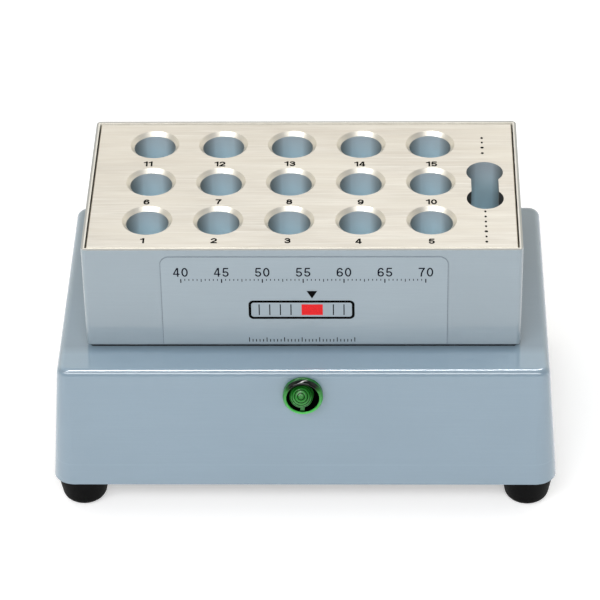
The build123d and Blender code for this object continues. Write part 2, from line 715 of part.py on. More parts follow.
# ---------------------------------------------------------------------------
# Internal wires, 1.8 mm over the insulation, each straight runs and arcs
# ---------------------------------------------------------------------------
def wire(points, r):
    """A round wire along the points; each corner gets the largest arc its runs allow."""
    pts = [Vector(p) for p in points]
    radii = []
    for a, b, c in zip(pts, pts[1:], pts[2:]):
        turn = radians((b - a).get_angle(c - b))
        radii.append(min(0.45 * min((b - a).length, (c - b).length) / tan(turn / 2), 14.0))
    with BuildPart() as w:
        with BuildLine() as path:
            FilletPolyline(*pts, radius=radii)
        with BuildSketch(Plane(origin=path.wires()[0] @ 0, z_dir=path.wires()[0] % 0)):
            Circle(r)
        sweep(path=path.wires()[0])
    length = path.wires()[0].length
    ratio = w.part.volume / (3.14159265 * r * r * length)
    print("wire", round(length, 1), "mm, volume ratio", round(ratio, 4), "radii", [round(v, 1) for v in radii])
    return w.part


def gather(name, solids):
    node = Compound(children=solids) if len(solids) > 1 else solids[0]
    node.label = name
    export_step(node, f"parts/{name}.step")


PIN_Z = -25.1
pl = IN.from_local_coords((-7, 1.6, PIN_Z))
pn = IN.from_local_coords((7, 1.6, PIN_Z))
pe = IN.from_local_coords((0, 5.6, PIN_Z))
s_lo = SW.from_local_coords((0, -5.5, -20.6))
s_hi = SW.from_local_coords((0, 5.5, -20.6))

gather("wire_live", [
    wire([pl, (pl.X, pl.Y - 6, pl.Z), (pl.X + 10, pl.Y - 12, 24.0), (-8.0, 8.0, 20.6), (s_lo.X - 6, s_lo.Y - 13, 20.6), (s_lo.X, s_lo.Y - 7, s_lo.Z), s_lo], 0.9),
    wire([s_hi, (s_hi.X, s_hi.Y - 6, s_hi.Z), (22.0, 8.0, 28.0), (33.0, -1.0, 20.0), (35.4, -13.0, 16.4), (35.4, -22.7, 15.5)], 0.9),
])
gather("wire_neutral", [
    wire([pn, (pn.X, pn.Y - 7, pn.Z), (pn.X + 1, pn.Y - 17, 20.0), (pn.X + 10, -11.0, 14.6), (-12.0, -16.0, 13.6), (9.0, -14.0, 14.0), (18.6, -17.0, 15.2), (18.6, -22.7, 15.5)], 0.9),
])
gather("wire_earth", [
    wire([pe, (pe.X, pe.Y - 7, pe.Z), (pe.X + 1, pe.Y - 14, 22.0), (pe.X + 10, -6.0, 14.4), (-8.0, -9.0, 13.2), (12.0, -6.0, 13.2), (28.0, 4.0, 13.8), (35.8, 17.4, 14.7)], 0.9),
])
# crimped ring lug, clamped between the two earth nuts
with BuildPart() as earth_lug:
    with BuildSketch(Plane.XY.offset(Z_PLATE1 + 3.2)):
        with Locations((40, 30)):
            Circle(3.9)
        with BuildLine():
            Polyline((34.9, 18.4), (37.1, 17.4), (41.6, 26.6), (38.2, 27.6), (34.9, 18.4))
        make_face()
        with Locations((40, 30)):
            Circle(2.1, mode=Mode.SUBTRACT)
    extrude(amount=1.0)
earth_lug.part.label = "earth_lug"
export_step(earth_lug.part, "parts/earth_lug.step")

lp = [FRONT.from_local_coords((sx * 1.27, 0, -19.1)) for sx in (-1, 1)]
gather("wire_lamp", [
    wire([lp[0], (lp[0].X, lp[0].Y + 5, lp[0].Z - 0.4), (5.0, -12.0, 33.0), (12.0, -12.5, 24.0), (16.8, -17.5, 19.4), (16.8, -22.7, 18.6)], 0.5),
    wire([lp[1], (lp[1].X, lp[1].Y + 4, lp[1].Z - 0.3), (9.0, -15.0, 34.0), (20.0, -13.5, 25.0), (27.0, -17.0, 19.6), (27.0, -22.7, 18.6)], 0.5),
])

# heater leads: out of the mat at the window's edge, one to the cut-out, one down to the terminals
gather("wire_heater", [
    wire([(31.9, HOUS_Y + 8.5, Z_MAT0 + 0.6), (28.5, HOUS_Y + 8.5, Z_MAT0 + 0.2), (26.0, HOUS_Y + 8.0, 50.0), (25.0, HOUS_Y + 6.0, 44.5), (23.0, HOUS_Y + 2.0, 42.6), (CUT_X + 5.0, HOUS_Y, 42.3)], 0.6),
    wire([(31.9, HOUS_Y - 8.5, Z_MAT0 + 0.6), (28.8, HOUS_Y - 8.5, Z_MAT0 + 0.2), (27.6, HOUS_Y - 9.5, 49.0), (27.6, HOUS_Y - 12.0, 38.0), (28.4, HOUS_Y - 17.0, 26.0), (28.4, -19.0, 17.0), (28.4, -22.7, 14.6)], 0.6),
])
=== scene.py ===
import math

import bmesh
import bpy
import numpy as np
from mathutils import Matrix, Vector
from mathutils.geometry import tessellate_polygon


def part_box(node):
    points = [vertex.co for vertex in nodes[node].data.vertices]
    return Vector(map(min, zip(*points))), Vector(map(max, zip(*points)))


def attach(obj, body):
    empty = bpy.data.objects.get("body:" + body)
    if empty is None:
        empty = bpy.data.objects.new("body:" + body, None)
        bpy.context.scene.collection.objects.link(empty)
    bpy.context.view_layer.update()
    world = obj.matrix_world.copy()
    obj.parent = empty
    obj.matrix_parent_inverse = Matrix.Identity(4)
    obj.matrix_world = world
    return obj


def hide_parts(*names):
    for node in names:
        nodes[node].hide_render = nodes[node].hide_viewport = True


# Dry bath incubator: looks. All lengths below are millimetres in the CAD frame and
# are turned into metres by MM when a mesh is written.

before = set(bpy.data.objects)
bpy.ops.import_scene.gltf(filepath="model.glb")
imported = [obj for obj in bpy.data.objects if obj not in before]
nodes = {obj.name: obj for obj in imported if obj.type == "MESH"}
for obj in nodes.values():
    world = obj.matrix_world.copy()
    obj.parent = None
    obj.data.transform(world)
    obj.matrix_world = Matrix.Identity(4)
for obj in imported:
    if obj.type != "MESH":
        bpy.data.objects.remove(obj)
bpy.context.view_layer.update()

MM = 0.001
scene = bpy.context.scene
scene.view_settings.view_transform = "Standard"
scene.view_settings.look = "None"
scene.view_settings.exposure = 0.0
scene.view_settings.gamma = 1.0
scene.cycles.max_bounces = 16
scene.cycles.glossy_bounces = 12
scene.cycles.transmission_bounces = 12

# sizes shared with the CAD
DRAFT = math.radians(4.31)
C, S = math.cos(DRAFT), math.sin(DRAFT)
HOUS_Y = 2.7
Z_TOP = 82.2          # top of the block
Z_RIM = 82.4          # rim of the housing
HOUS_FRONT = HOUS_Y - 65.5 / 2
LABEL_FACE = HOUS_FRONT - 0.15
WELL_X, WELL_Y, WELL_PX, WELL_PY = -3.76, 1.44, 20.0, 19.3
SLOT_X, SLOT_Y1, SLOT_Y2 = 51.7, 6.1, -7.2
LAMP_Z = 41.1


def y_wall(z):
    return 44.2 - (z - 10.0) * math.tan(DRAFT)


# ---------------------------------------------------------------------------
# Camera
# ---------------------------------------------------------------------------
YAW, PITCH, ROLL = -0.03229, 0.63128, -0.0197
DIST = 993.53331
TARGET = Vector((-3.21682, 47.97563, 8.19245))
fwd = Vector((math.sin(YAW) * math.cos(PITCH), math.cos(YAW) * math.cos(PITCH), -math.sin(PITCH)))
right = Vector((math.cos(YAW), -math.sin(YAW), 0))
up = Vector((math.sin(YAW) * math.sin(PITCH), math.cos(YAW) * math.sin(PITCH), math.cos(PITCH)))
r2 = right * math.cos(ROLL) + up * math.sin(ROLL)
u2 = up * math.cos(ROLL) - right * math.sin(ROLL)
eye = (TARGET - fwd * DIST) * MM
cam_data = bpy.data.cameras.new("camera")
cam_data.lens = 191.896
cam_data.sensor_width = 36.0
cam_data.clip_start = 0.05
cam_data.clip_end = 50.0
cam = bpy.data.objects.new("camera", cam_data)
scene.collection.objects.link(cam)
cam.matrix_world = Matrix((
    (r2.x, u2.x, -fwd.x, eye.x),
    (r2.y, u2.y, -fwd.y, eye.y),
    (r2.z, u2.z, -fwd.z, eye.z),
    (0, 0, 0, 1)))
scene.camera = cam

# ---------------------------------------------------------------------------
# Floor, world and lights
# ---------------------------------------------------------------------------
world = bpy.data.worlds.new("studio")
scene.world = world
world.use_nodes = True
wt = world.node_tree
wt.nodes.clear()
w_out = wt.nodes.new("ShaderNodeOutputWorld")
w_bg = wt.nodes.new("ShaderNodeBackground")
w_tc = wt.nodes.new("ShaderNodeTexCoord")
w_sep = wt.nodes.new("ShaderNodeSeparateXYZ")
w_ramp = wt.nodes.new("ShaderNodeValToRGB")
w_bg.inputs["Strength"].default_value = 1.0
wt.links.new(w_tc.outputs["Generated"], w_sep.inputs[0])
wt.links.new(w_sep.outputs["Z"], w_ramp.inputs["Fac"])
stops = [(0.0, (0.26, 0.26, 0.26)), (0.3, (0.26, 0.26, 0.27)), (0.7, (0.28, 0.29, 0.31)), (1.0, (0.28, 0.29, 0.31))]
ramp = w_ramp.color_ramp
ramp.interpolation = "EASE"
ramp.elements[0].position, ramp.elements[1].position = stops[0][0], stops[-1][0]
for pos, col in stops[1:-1]:
    ramp.elements.new(pos)
for e, (pos, col) in zip(sorted(ramp.elements, key=lambda e: e.position), stops):
    e.position = pos
    e.color = (*col, 1)


def world_step(source, lo, hi, to_lo=0.0, to_hi=1.0):
    r = wt.nodes.new("ShaderNodeMapRange")
    r.interpolation_type = "SMOOTHSTEP"
    for k, v in (("From Min", lo), ("From Max", hi), ("To Min", to_lo), ("To Max", to_hi)):
        r.inputs[k].default_value = v
    wt.links.new(source, r.inputs["Value"])
    return r.outputs["Result"]


def world_product(a, b):
    n = wt.nodes.new("ShaderNodeMath")
    n.operation = "MULTIPLY"
    wt.links.new(a, n.inputs[0])
    wt.links.new(b, n.inputs[1])
    return n.outputs[0]


# warm white walls from the horizon to 60 degrees: bright behind the bench, softer at its sides
tall = world_product(world_step(w_sep.outputs["Z"], -0.20, 0.10), world_step(w_sep.outputs["Z"], 0.72, 0.92, 1.0, 0.0))
w_sum = wt.nodes.new("ShaderNodeMath")
w_sum.operation = "ADD"
wt.links.new(world_step(w_sep.outputs["Y"], -0.45, 0.15, 0.0, 0.50), w_sum.inputs[0])
wt.links.new(world_step(w_sep.outputs["Y"], 0.20, 0.60, 0.0, 0.50), w_sum.inputs[1])
band = world_product(tall, w_sum.outputs[0])
w_mix = wt.nodes.new("ShaderNodeMix")
w_mix.data_type = "RGBA"
wt.links.new(band, w_mix.inputs["Factor"])
wt.links.new(w_ramp.outputs["Color"], w_mix.inputs[6])
w_mix.inputs[7].default_value = (1.20, 1.16, 1.07, 1)
wt.links.new(w_mix.outputs[2], w_bg.inputs["Color"])
wt.links.new(w_bg.outputs[0], w_out.inputs["Surface"])


def softbox(name, place, aim, size, power, colour=(1, 1, 1)):
    d = bpy.data.lights.new(name, "AREA")
    d.shape = "RECTANGLE"
    d.size, d.size_y = size
    d.energy = power
    d.color = colour
    o = bpy.data.objects.new(name, d)
    scene.collection.objects.link(o)
    o.location = place
    o.rotation_euler = (Vector(aim) - Vector(place)).to_track_quat("-Z", "Y").to_euler()
    return o


softbox("front", (-0.30, -1.18, 1.24), (0, 0, 0.05), (2.2, 0.50), 22.0)
# thin strip above the bench, seen only in glossy reflections: draws the bright line on the rounded edges
strip = softbox("edge_strip", (-0.03, 0.03, 1.42), (0, 0, 0.05), (1.8, 0.20), 24.0)
strip.visible_diffuse = False

# ---------------------------------------------------------------------------
# Node helpers
# ---------------------------------------------------------------------------


class Mat:
    """A Principled material with helpers; lengths in the helpers are millimetres."""

    def __init__(self, name, **sockets):
        self.m = bpy.data.materials.new(name)
        self.m.use_nodes = True
        self.t = self.m.node_tree
        self.t.nodes.clear()
        self.out = self.new("ShaderNodeOutputMaterial")
        self.b = self.new("ShaderNodeBsdfPrincipled")
        self.link(self.b.outputs[0], self.out.inputs["Surface"])
        self.set(**sockets)
        self.tc = self.new("ShaderNodeTexCoord")

    def new(self, kind):
        return self.t.nodes.new(kind)

    def link(self, a, b):
        self.t.links.new(a, b)

    def set(self, **sockets):
        names = {"metallic": "Metallic", "rough": "Roughness", "ior": "IOR", "spec": "Specular IOR Level",
                 "coat": "Coat Weight", "coat_rough": "Coat Roughness", "trans": "Transmission Weight",
                 "sss": "Subsurface Weight", "sss_scale": "Subsurface Scale", "sheen": "Sheen Weight",
                 "sheen_rough": "Sheen Roughness", "alpha": "Alpha", "aniso": "Anisotropic", "coat_ior": "Coat IOR"}
        for k, v in sockets.items():
            self.b.inputs[names[k]].default_value = v
        return self

    def noise(self, size, detail=3.0, rough=0.5, lo=0.35, hi=0.65):
        """Noise stretched so that its grain is size=(x, y, z) mm, as a 0 to 1 factor."""
        mp = self.new("ShaderNodeMapping")
        mp.inputs["Scale"].default_value = [1.0 / (s * MM) for s in size]
        n = self.new("ShaderNodeTexNoise")
        n.inputs["Scale"].default_value = 1.0
        n.inputs["Detail"].default_value = detail
        n.inputs["Roughness"].default_value = rough
        self.link(self.tc.outputs["Object"], mp.inputs["Vector"])
        self.link(mp.outputs[0], n.inputs["Vector"])
        return self.ramp(n.outputs["Fac"], lo, hi, 0.0, 1.0)

    def ramp(self, value, lo, hi, to_lo, to_hi):
        r = self.new("ShaderNodeMapRange")
        r.clamp = True
        r.inputs["From Min"].default_value = lo
        r.inputs["From Max"].default_value = hi
        r.inputs["To Min"].default_value = to_lo
        r.inputs["To Max"].default_value = to_hi
        self.link(value, r.inputs["Value"])
        return r.outputs["Result"]

    def pos(self, axis):
        s = self.new("ShaderNodeSeparateXYZ")
        self.link(self.tc.outputs["Object"], s.inputs[0])
        return s.outputs[axis]

    def nrm(self, axis):
        s = self.new("ShaderNodeSeparateXYZ")
        self.link(self.tc.outputs["Normal"], s.inputs[0])
        return s.outputs[axis]

    def math(self, op, a, b=None, c=None):
        n = self.new("ShaderNodeMath")
        n.operation = op
        for i, v in enumerate((a, b, c)):
            if v is None:
                continue
            if isinstance(v, (int, float)):
                n.inputs[i].default_value = v
            else:
                self.link(v, n.inputs[i])
        return n.outputs[0]

    def mix(self, fac, a, b):
        n = self.new("ShaderNodeMix")
        n.data_type = "RGBA"
        self.link(fac, n.inputs["Factor"])
        for v, sock in ((a, n.inputs[6]), (b, n.inputs[7])):
            if isinstance(v, tuple):
                sock.default_value = (*v, 1)
            else:
                self.link(v, sock)
        return n.outputs[2]

    def mixf(self, fac, a, b):
        n = self.new("ShaderNodeMix")
        n.data_type = "FLOAT"
        self.link(fac, n.inputs["Factor"])
        for v, sock in ((a, n.inputs[2]), (b, n.inputs[3])):
            if isinstance(v, (int, float)):
                sock.default_value = v
            else:
                self.link(v, sock)
        return n.outputs[0]

    def colour(self, value):
        self.link(value, self.b.inputs["Base Color"])
        return self

    def roughness(self, value):
        self.link(value, self.b.inputs["Roughness"])
        return self

    def coat_bump(self, *layers):
        """The same kind of layers, on the clear coat."""
        last = self.b.inputs["Normal"].links[0].from_socket if self.b.inputs["Normal"].links else None
        self.bump(*layers)
        done = self.b.inputs["Normal"].links[0].from_socket
        self.link(done, self.b.inputs["Coat Normal"])
        if last is not None:
            self.link(last, self.b.inputs["Normal"])
        return self

    def bump(self, *layers):
        """Bump layers of (height value, depth in mm, strength)."""
        last = None
        for height, depth, strength in layers:
            b = self.new("ShaderNodeBump")
            b.inputs["Strength"].default_value = strength
            b.inputs["Distance"].default_value = depth * MM
            self.link(height, b.inputs["Height"])
            if last is not None:
                self.link(last, b.inputs["Normal"])
            last = b.outputs[0]
        self.link(last, self.b.inputs["Normal"])
        return self


def shade(c, k):
    return tuple(max(0.0, min(1.0, v * k)) for v in c)


def paint(name, base, rough=0.36, peel=0.012, grain=0.0, variation=0.035, **sockets):
    """Semi-gloss stoved paint: orange peel, faint clouding and, if asked, a fine horizontal grain."""
    m = Mat(name, metallic=0.0, coat=1.0, coat_rough=0.08, coat_ior=1.62, **sockets)
    cloud = m.noise((26, 26, 18), 3, 0.55)
    fleck = m.noise((0.7, 0.7, 0.7), 2, 0.6)
    tone = m.mix(cloud, shade(base, 1 - variation), shade(base, 1 + variation))
    tone = m.mix(m.ramp(fleck, 0, 1, 0.0, 0.35), tone, shade(base, 0.97))
    layers = [(m.noise((1.5, 1.5, 1.5), 2, 0.5), peel, 0.55), (fleck, peel * 0.35, 0.5)]
    if grain:
        line = m.noise((22, 0.9, 0.28), 4, 0.65)
        tone = m.mix(m.ramp(line, 0, 1, 0.0, 0.6), tone, shade(base, 0.955))
        layers.append((line, grain, 0.5))
    m.colour(tone)
    m.roughness(m.ramp(m.noise((7, 7, 7), 3, 0.5), 0, 1, rough - 0.05, rough + 0.06))
    m.bump(*layers)
    m.coat_bump((m.noise((1.8, 1.8, 1.8), 2, 0.5), peel * 0.6, 0.4))
    return m


def plastic(name, base, rough=0.42, texture=0.5, depth=0.008, variation=0.08, **sockets):
    """Moulded plastic: fine spark-eroded texture and slight clouding."""
    m = Mat(name, metallic=0.0, **sockets)
    tex = m.noise((texture, texture, texture), 3, 0.6)
    cloud = m.noise((9, 9, 9), 3, 0.5)
    m.colour(m.mix(cloud, shade(base, 1 - variation), shade(base, 1 + variation)))
    m.roughness(m.ramp(tex, 0, 1, rough - 0.07, rough + 0.07))
    m.bump((tex, depth, 0.5))
    return m


def metal(name, base, rough=0.3, size=(0.4, 0.4, 6.0), depth=0.004, variation=0.12, spots=0.0, **sockets):
    """Bare or plated metal with drawn or turned lines of grain size and a little tarnish."""
    m = Mat(name, metallic=1.0, **sockets)
    line = m.noise(size, 4, 0.6)
    cloud = m.noise((3.5, 3.5, 3.5), 4, 0.6)
    tone = m.mix(line, shade(base, 1 - variation), shade(base, 1 + variation * 0.5))
    if spots:
        tone = m.mix(m.ramp(cloud, 0.45, 1, 0.0, spots), tone, shade(base, 0.62))
    m.colour(tone)
    m.roughness(m.math("ADD", m.ramp(line, 0, 1, rough - 0.05, rough + 0.05), m.ramp(cloud, 0, 1, 0.0, 0.08)))
    m.bump((line, depth, 0.5))
    return m


# ---------------------------------------------------------------------------
# Materials of the CAD pieces, by material slot
# ---------------------------------------------------------------------------
BLUE = (0.227, 0.312, 0.383)
GREY = (0.274, 0.336, 0.378)


def cover_paint():
    m = paint("cover_paint", BLUE, rough=0.40, peel=0.014, grain=0.004, variation=0.02, spec=0.25)
    # a faint, patchy line 6.8 mm above the lower edge, drawn lighter than the cover: a painted highlight along a seam
    # line
    z = m.pos("Z")
    line = m.math("SUBTRACT", 1.0, m.ramp(m.math("ABSOLUTE", m.math("SUBTRACT", z, 16.8 * MM)), 0.08 * MM, 0.3 * MM, 0.0, 1.0))
    patchy_seam_highlight = m.math("MULTIPLY", line, m.ramp(m.noise((18, 18, 18), 3, 0.6), 0.1, 0.8, 0.15, 0.5))
    src = m.b.inputs["Base Color"].links[0].from_socket
    tone = m.mix(patchy_seam_highlight, src, shade(BLUE, 1.12))
    # painted light and shade on the upper face: lighter just ahead of the housing, darker and warmer behind it
    flat = m.ramp(m.nrm("Z"), 0.80, 0.97, 0, 1)
    painted_light_ahead = m.math("MULTIPLY", flat, m.ramp(m.pos("Y"), -29.0 * MM, -33.0 * MM, 0.0, 1.0))
    painted_shade_behind = m.math("MULTIPLY", flat, m.ramp(m.pos("Y"), -10.0 * MM, 34.0 * MM, 0.0, 0.9))
    tone = m.mix(painted_light_ahead, tone, shade(BLUE, 1.27))
    tone = m.mix(painted_shade_behind, tone, shade((BLUE[0] * 1.02, BLUE[1], BLUE[2] * 0.96), 0.82))
    m.colour(tone)
    return m.m


def housing_paint():
    m = paint("housing_paint", GREY, rough=0.40, peel=0.008, grain=0.010, variation=0.02, spec=0.25)
    src = m.b.inputs["Base Color"].links[0].from_socket
    # the upper edge of the sheet is drawn in a lighter, more neutral, mottled tone
    rim = m.ramp(m.pos("Z"), (Z_RIM - 0.12) * MM, (Z_RIM - 0.02) * MM, 0.0, 1.0)
    mottled = m.math("MULTIPLY", rim, m.ramp(m.noise((6, 6, 6), 3, 0.6), 0, 1, 0.8, 1.0))
    tone = m.mix(mottled, src, (0.35, 0.352, 0.328))
    # bare galvanised sheet inside the box: everything that faces the block
    x, y = m.pos("X"), m.pos("Y")
    in_x = m.ramp(m.math("ABSOLUTE", x), 61.0 * MM, 60.85 * MM, 0, 1)
    in_y = m.ramp(m.math("ABSOLUTE", m.math("SUBTRACT", y, HOUS_Y * MM)), 32.25 * MM, 32.1 * MM, 0, 1)
    inner = m.math("MULTIPLY", in_x, in_y)
    zinc = m.mix(m.noise((3, 3, 3), 3, 0.6), (0.74, 0.71, 0.63), (0.84, 0.81, 0.73))
    m.colour(m.mix(inner, tone, zinc))
    return m.m


def block_aluminium():
    m = Mat("block_aluminium", metallic=1.0)
    z, nz = m.pos("Z"), m.nrm("Z")
    top = m.math("MULTIPLY", m.ramp(z, (Z_TOP - 0.03) * MM, (Z_TOP - 0.01) * MM, 0, 1), m.ramp(nz, 0.93, 0.97, 0, 1))
    slope = m.math("MULTIPLY", m.ramp(nz, 0.25, 0.45, 0, 1), m.ramp(z, (Z_TOP - 1.4) * MM, (Z_TOP - 1.15) * MM, 0, 1))
    # brushed and champagne anodised upper face, grain along X
    fine = m.noise((16, 0.30, 4), 5, 0.7, 0.30, 0.70)
    broad = m.noise((34, 1.6, 4), 4, 0.65, 0.32, 0.68)
    warm = m.noise((34, 9, 4), 3, 0.5, 0.35, 0.65)
    face = m.mix(fine, (0.470, 0.450, 0.412), (0.738, 0.728, 0.702))
    face = m.mix(m.ramp(broad, 0, 1, 0.0, 0.7), face, (0.537, 0.504, 0.459))
    face = m.mix(m.ramp(warm, 0, 1, 0.0, 0.45), face, (0.660, 0.640, 0.588))
    # turned chamfers and bored walls
    turned = m.noise((5, 5, 0.10), 3, 0.6, 0.3, 0.7)
    wall = m.mix(turned, (0.52, 0.61, 0.675), (0.56, 0.65, 0.715))
    # painted light: the bores turn lighter and bluer with depth, standing in for the light reflected inside them
    wall = m.mix(m.ramp(z, (Z_TOP - 1.5) * MM, (Z_TOP - 9.0) * MM, 0, 1), wall, (0.68, 0.90, 1.0))
    # painted shade: the two sides of each bore, where the walls face along X, are darkened and made neutral
    painted_side_shade = m.ramp(m.math("ABSOLUTE", m.nrm("X")), 0.45, 0.97, 0, 0.86)
    wall = m.mix(painted_side_shade, wall, (0.115, 0.118, 0.104))
    # painted shade: the lower pocket of the slot is painted near black, with a little mottling
    px = m.ramp(m.math("ABSOLUTE", m.math("SUBTRACT", m.pos("X"), SLOT_X * MM)), 6.2 * MM, 5.8 * MM, 0, 1)
    py = m.ramp(m.math("ABSOLUTE", m.math("SUBTRACT", m.pos("Y"), (HOUS_Y + SLOT_Y2 - 0.8) * MM)), 5.0 * MM, 4.0 * MM, 0, 1)
    pocket_shade = m.math("MULTIPLY", px, py)
    wall = m.mix(m.math("MULTIPLY", pocket_shade, m.ramp(turned, 0, 1, 0.9, 1.0)), wall, (0.050, 0.052, 0.050))
    cut = m.mix(turned, (0.60, 0.570, 0.500), (0.67, 0.640, 0.570))
    # painted shade: the outer bevel of the flange is drawn darker in colour than the chamfers of the wells
    ex = m.ramp(m.math("ABSOLUTE", m.pos("X")), 59.6 * MM, 59.7 * MM, 0, 1)
    ey = m.ramp(m.math("ABSOLUTE", m.math("SUBTRACT", m.pos("Y"), HOUS_Y * MM)), 30.95 * MM, 31.05 * MM, 0, 1)
    cut = m.mix(m.math("MAXIMUM", ex, ey), cut, (0.44, 0.41, 0.34))
    tone = m.mix(slope, wall, cut)
    tone = m.mix(top, tone, face)
    # painted shade: the face is a touch deeper in tone towards the back
    tone = m.mix(m.math("MULTIPLY", top, m.ramp(m.pos("Y"), -30 * MM, 36 * MM, 0.0, 0.14)), tone, (0.52, 0.46, 0.36))
    m.colour(tone)
    r_wall = m.ramp(turned, 0, 1, 0.40, 0.46)
    r_face = m.ramp(fine, 0, 1, 0.34, 0.46)
    m.roughness(m.mixf(top, m.mixf(slope, r_wall, 0.42), r_face))
    height = m.mixf(top, turned, fine)
    m.bump((height, 0.004, 0.5), (m.mixf(top, 0.5, broad), 0.004, 0.4))
    # the bores are matt anodised, the faces that were machined after are bare
    m.link(m.ramp(m.math("MAXIMUM", top, slope), 0, 1, 0.30, 1.0), m.b.inputs["Metallic"])
    return m.m


def foot_rubber():
    m = plastic("foot_rubber", (0.0026, 0.0026, 0.0028), rough=0.55, texture=0.35, depth=0.01, variation=0.25, spec=0.05)
    return m.m


def label_film():
    m = Mat("label_film", metallic=0.0, spec=0.3, coat=0.9, coat_rough=0.16, coat_ior=1.55)
    cloud = m.noise((20, 4, 14), 3, 0.5)
    grain = m.noise((12, 0.5, 0.35), 3, 0.6)
    base = (0.293, 0.357, 0.400)
    tone = m.mix(cloud, shade(base, 0.985), shade(base, 1.015))
    tone = m.mix(m.ramp(grain, 0, 1, 0.0, 0.5), tone, shade(base, 0.95))
    m.colour(tone)
    m.roughness(m.ramp(grain, 0, 1, 0.34, 0.42))
    m.bump((grain, 0.005, 0.4), (m.noise((5, 5, 4), 2, 0.5), 0.012, 0.3))
    return m.m


def black_paint():
    m = plastic("black_paint", (0.007, 0.007, 0.008), rough=0.55, texture=0.6, depth=0.012, variation=0.2, spec=0.15)
    return m.m


def felt(name, base):
    m = Mat(name, metallic=0.0, rough=0.95, sheen=0.25, sheen_rough=0.6)
    fibre = m.noise((1.6, 0.25, 0.25), 4, 0.7)
    cross = m.noise((0.25, 1.6, 0.25), 4, 0.7)
    both = m.math("MAXIMUM", fibre, cross)
    m.colour(m.mix(both, shade(base, 0.8), shade(base, 1.08)))
    m.bump((both, 0.12, 0.6))
    return m.m


def foam(name, base):
    m = Mat(name, metallic=0.0, rough=0.9)
    v = m.new("ShaderNodeTexVoronoi")
    mp = m.new("ShaderNodeMapping")
    mp.inputs["Scale"].default_value = (1 / (0.35 * MM),) * 3
    m.link(m.tc.outputs["Object"], mp.inputs["Vector"])
    m.link(mp.outputs[0], v.inputs["Vector"])
    cell = m.ramp(v.outputs["Distance"], 0.05, 0.6, 0, 1)
    m.colour(m.mix(cell, shade(base, 0.5), shade(base, 1.2)))
    m.bump((cell, 0.05, 0.6))
    return m.m


def lens_plastic(name, k=1.0, coat=1.0):
    m = Mat(name, metallic=0.0, spec=0.05, coat=coat, coat_rough=0.31, coat_ior=1.45)
    cloud = m.noise((2.2, 2.2, 2.2), 3, 0.5)
    m.colour(m.mix(cloud, shade((0.010, 0.165, 0.014), k), shade((0.018, 0.230, 0.024), k)))
    m.roughness(m.ramp(cloud, 0, 1, 0.20, 0.30))
    return m.m


def fuse_glass():
    # glass in the middle, plated caps 5 mm long at both ends
    m = Mat("fuse_glass", coat=0.8, coat_rough=0.03, ior=1.5)
    lo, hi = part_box("fuse_link")
    x = m.pos("X")
    cap = m.math("MAXIMUM", m.ramp(x, lo.x + 4.95 * MM, lo.x + 5.05 * MM, 1, 0), m.ramp(x, hi.x - 5.05 * MM, hi.x - 4.95 * MM, 0, 1))
    line = m.noise((4, 0.2, 0.2), 3, 0.6)
    m.colour(m.mix(cap, (0.80, 0.84, 0.84), m.mix(line, (0.62, 0.60, 0.56), (0.78, 0.77, 0.74))))
    m.link(cap, m.b.inputs["Metallic"])
    m.link(m.ramp(cap, 0, 1, 0.85, 0.0), m.b.inputs["Transmission Weight"])
    m.roughness(m.math("ADD", m.ramp(cap, 0, 1, 0.03, 0.25), m.ramp(line, 0, 1, 0.0, 0.06)))
    m.bump((line, 0.004, 0.3))
    return m.m


def lamp_bulb():
    m = Mat("lamp_bulb", coat=0.7, coat_rough=0.04)
    cloud = m.noise((1.2, 1.2, 1.2), 3, 0.5)
    m.colour(m.mix(cloud, (0.50, 0.62, 0.50), (0.72, 0.80, 0.70)))
    m.roughness(m.ramp(cloud, 0, 1, 0.08, 0.16))
    m.bump((cloud, 0.01, 0.3))
    return m.m


def plate_foil():
    m = Mat("plate_foil", metallic=1.0)
    line = m.noise((14, 2, 0.14), 5, 0.7, 0.3, 0.7)
    m.colour(m.mix(line, (0.66, 0.67, 0.68), (0.78, 0.79, 0.80)))
    m.roughness(m.ramp(line, 0, 1, 0.30, 0.42))
    m.bump((line, 0.004, 0.5))
    return m.m


def insulated(name, base):
    m = plastic(name, base, rough=0.38, texture=0.5, depth=0.006, variation=0.06)
    return m.m


def ceramic(name, base):
    m = Mat(name, metallic=0.0, spec=0.5)
    grain = m.noise((0.25, 0.25, 0.25), 4, 0.65)
    cloud = m.noise((5, 5, 5), 3, 0.5)
    m.colour(m.mix(cloud, shade(base, 0.93), shade(base, 1.03)))
    m.roughness(m.ramp(grain, 0, 1, 0.48, 0.68))
    m.bump((grain, 0.015, 0.5))
    return m.m


def bimetal():
    m = Mat("bimetal", metallic=1.0)
    line = m.noise((8, 0.2, 0.2), 4, 0.6)
    side = m.ramp(m.nrm("Z"), -0.2, 0.2, 0, 1)
    m.colour(m.mix(side, (0.62, 0.60, 0.56), m.mix(line, (0.72, 0.48, 0.25), (0.80, 0.58, 0.32))))
    m.roughness(m.ramp(line, 0, 1, 0.24, 0.36))
    m.bump((line, 0.004, 0.4))
    return m.m


def silicone():
    m = plastic("silicone", (0.42, 0.085, 0.045), rough=0.55, texture=1.0, depth=0.02, variation=0.08)
    return m.m


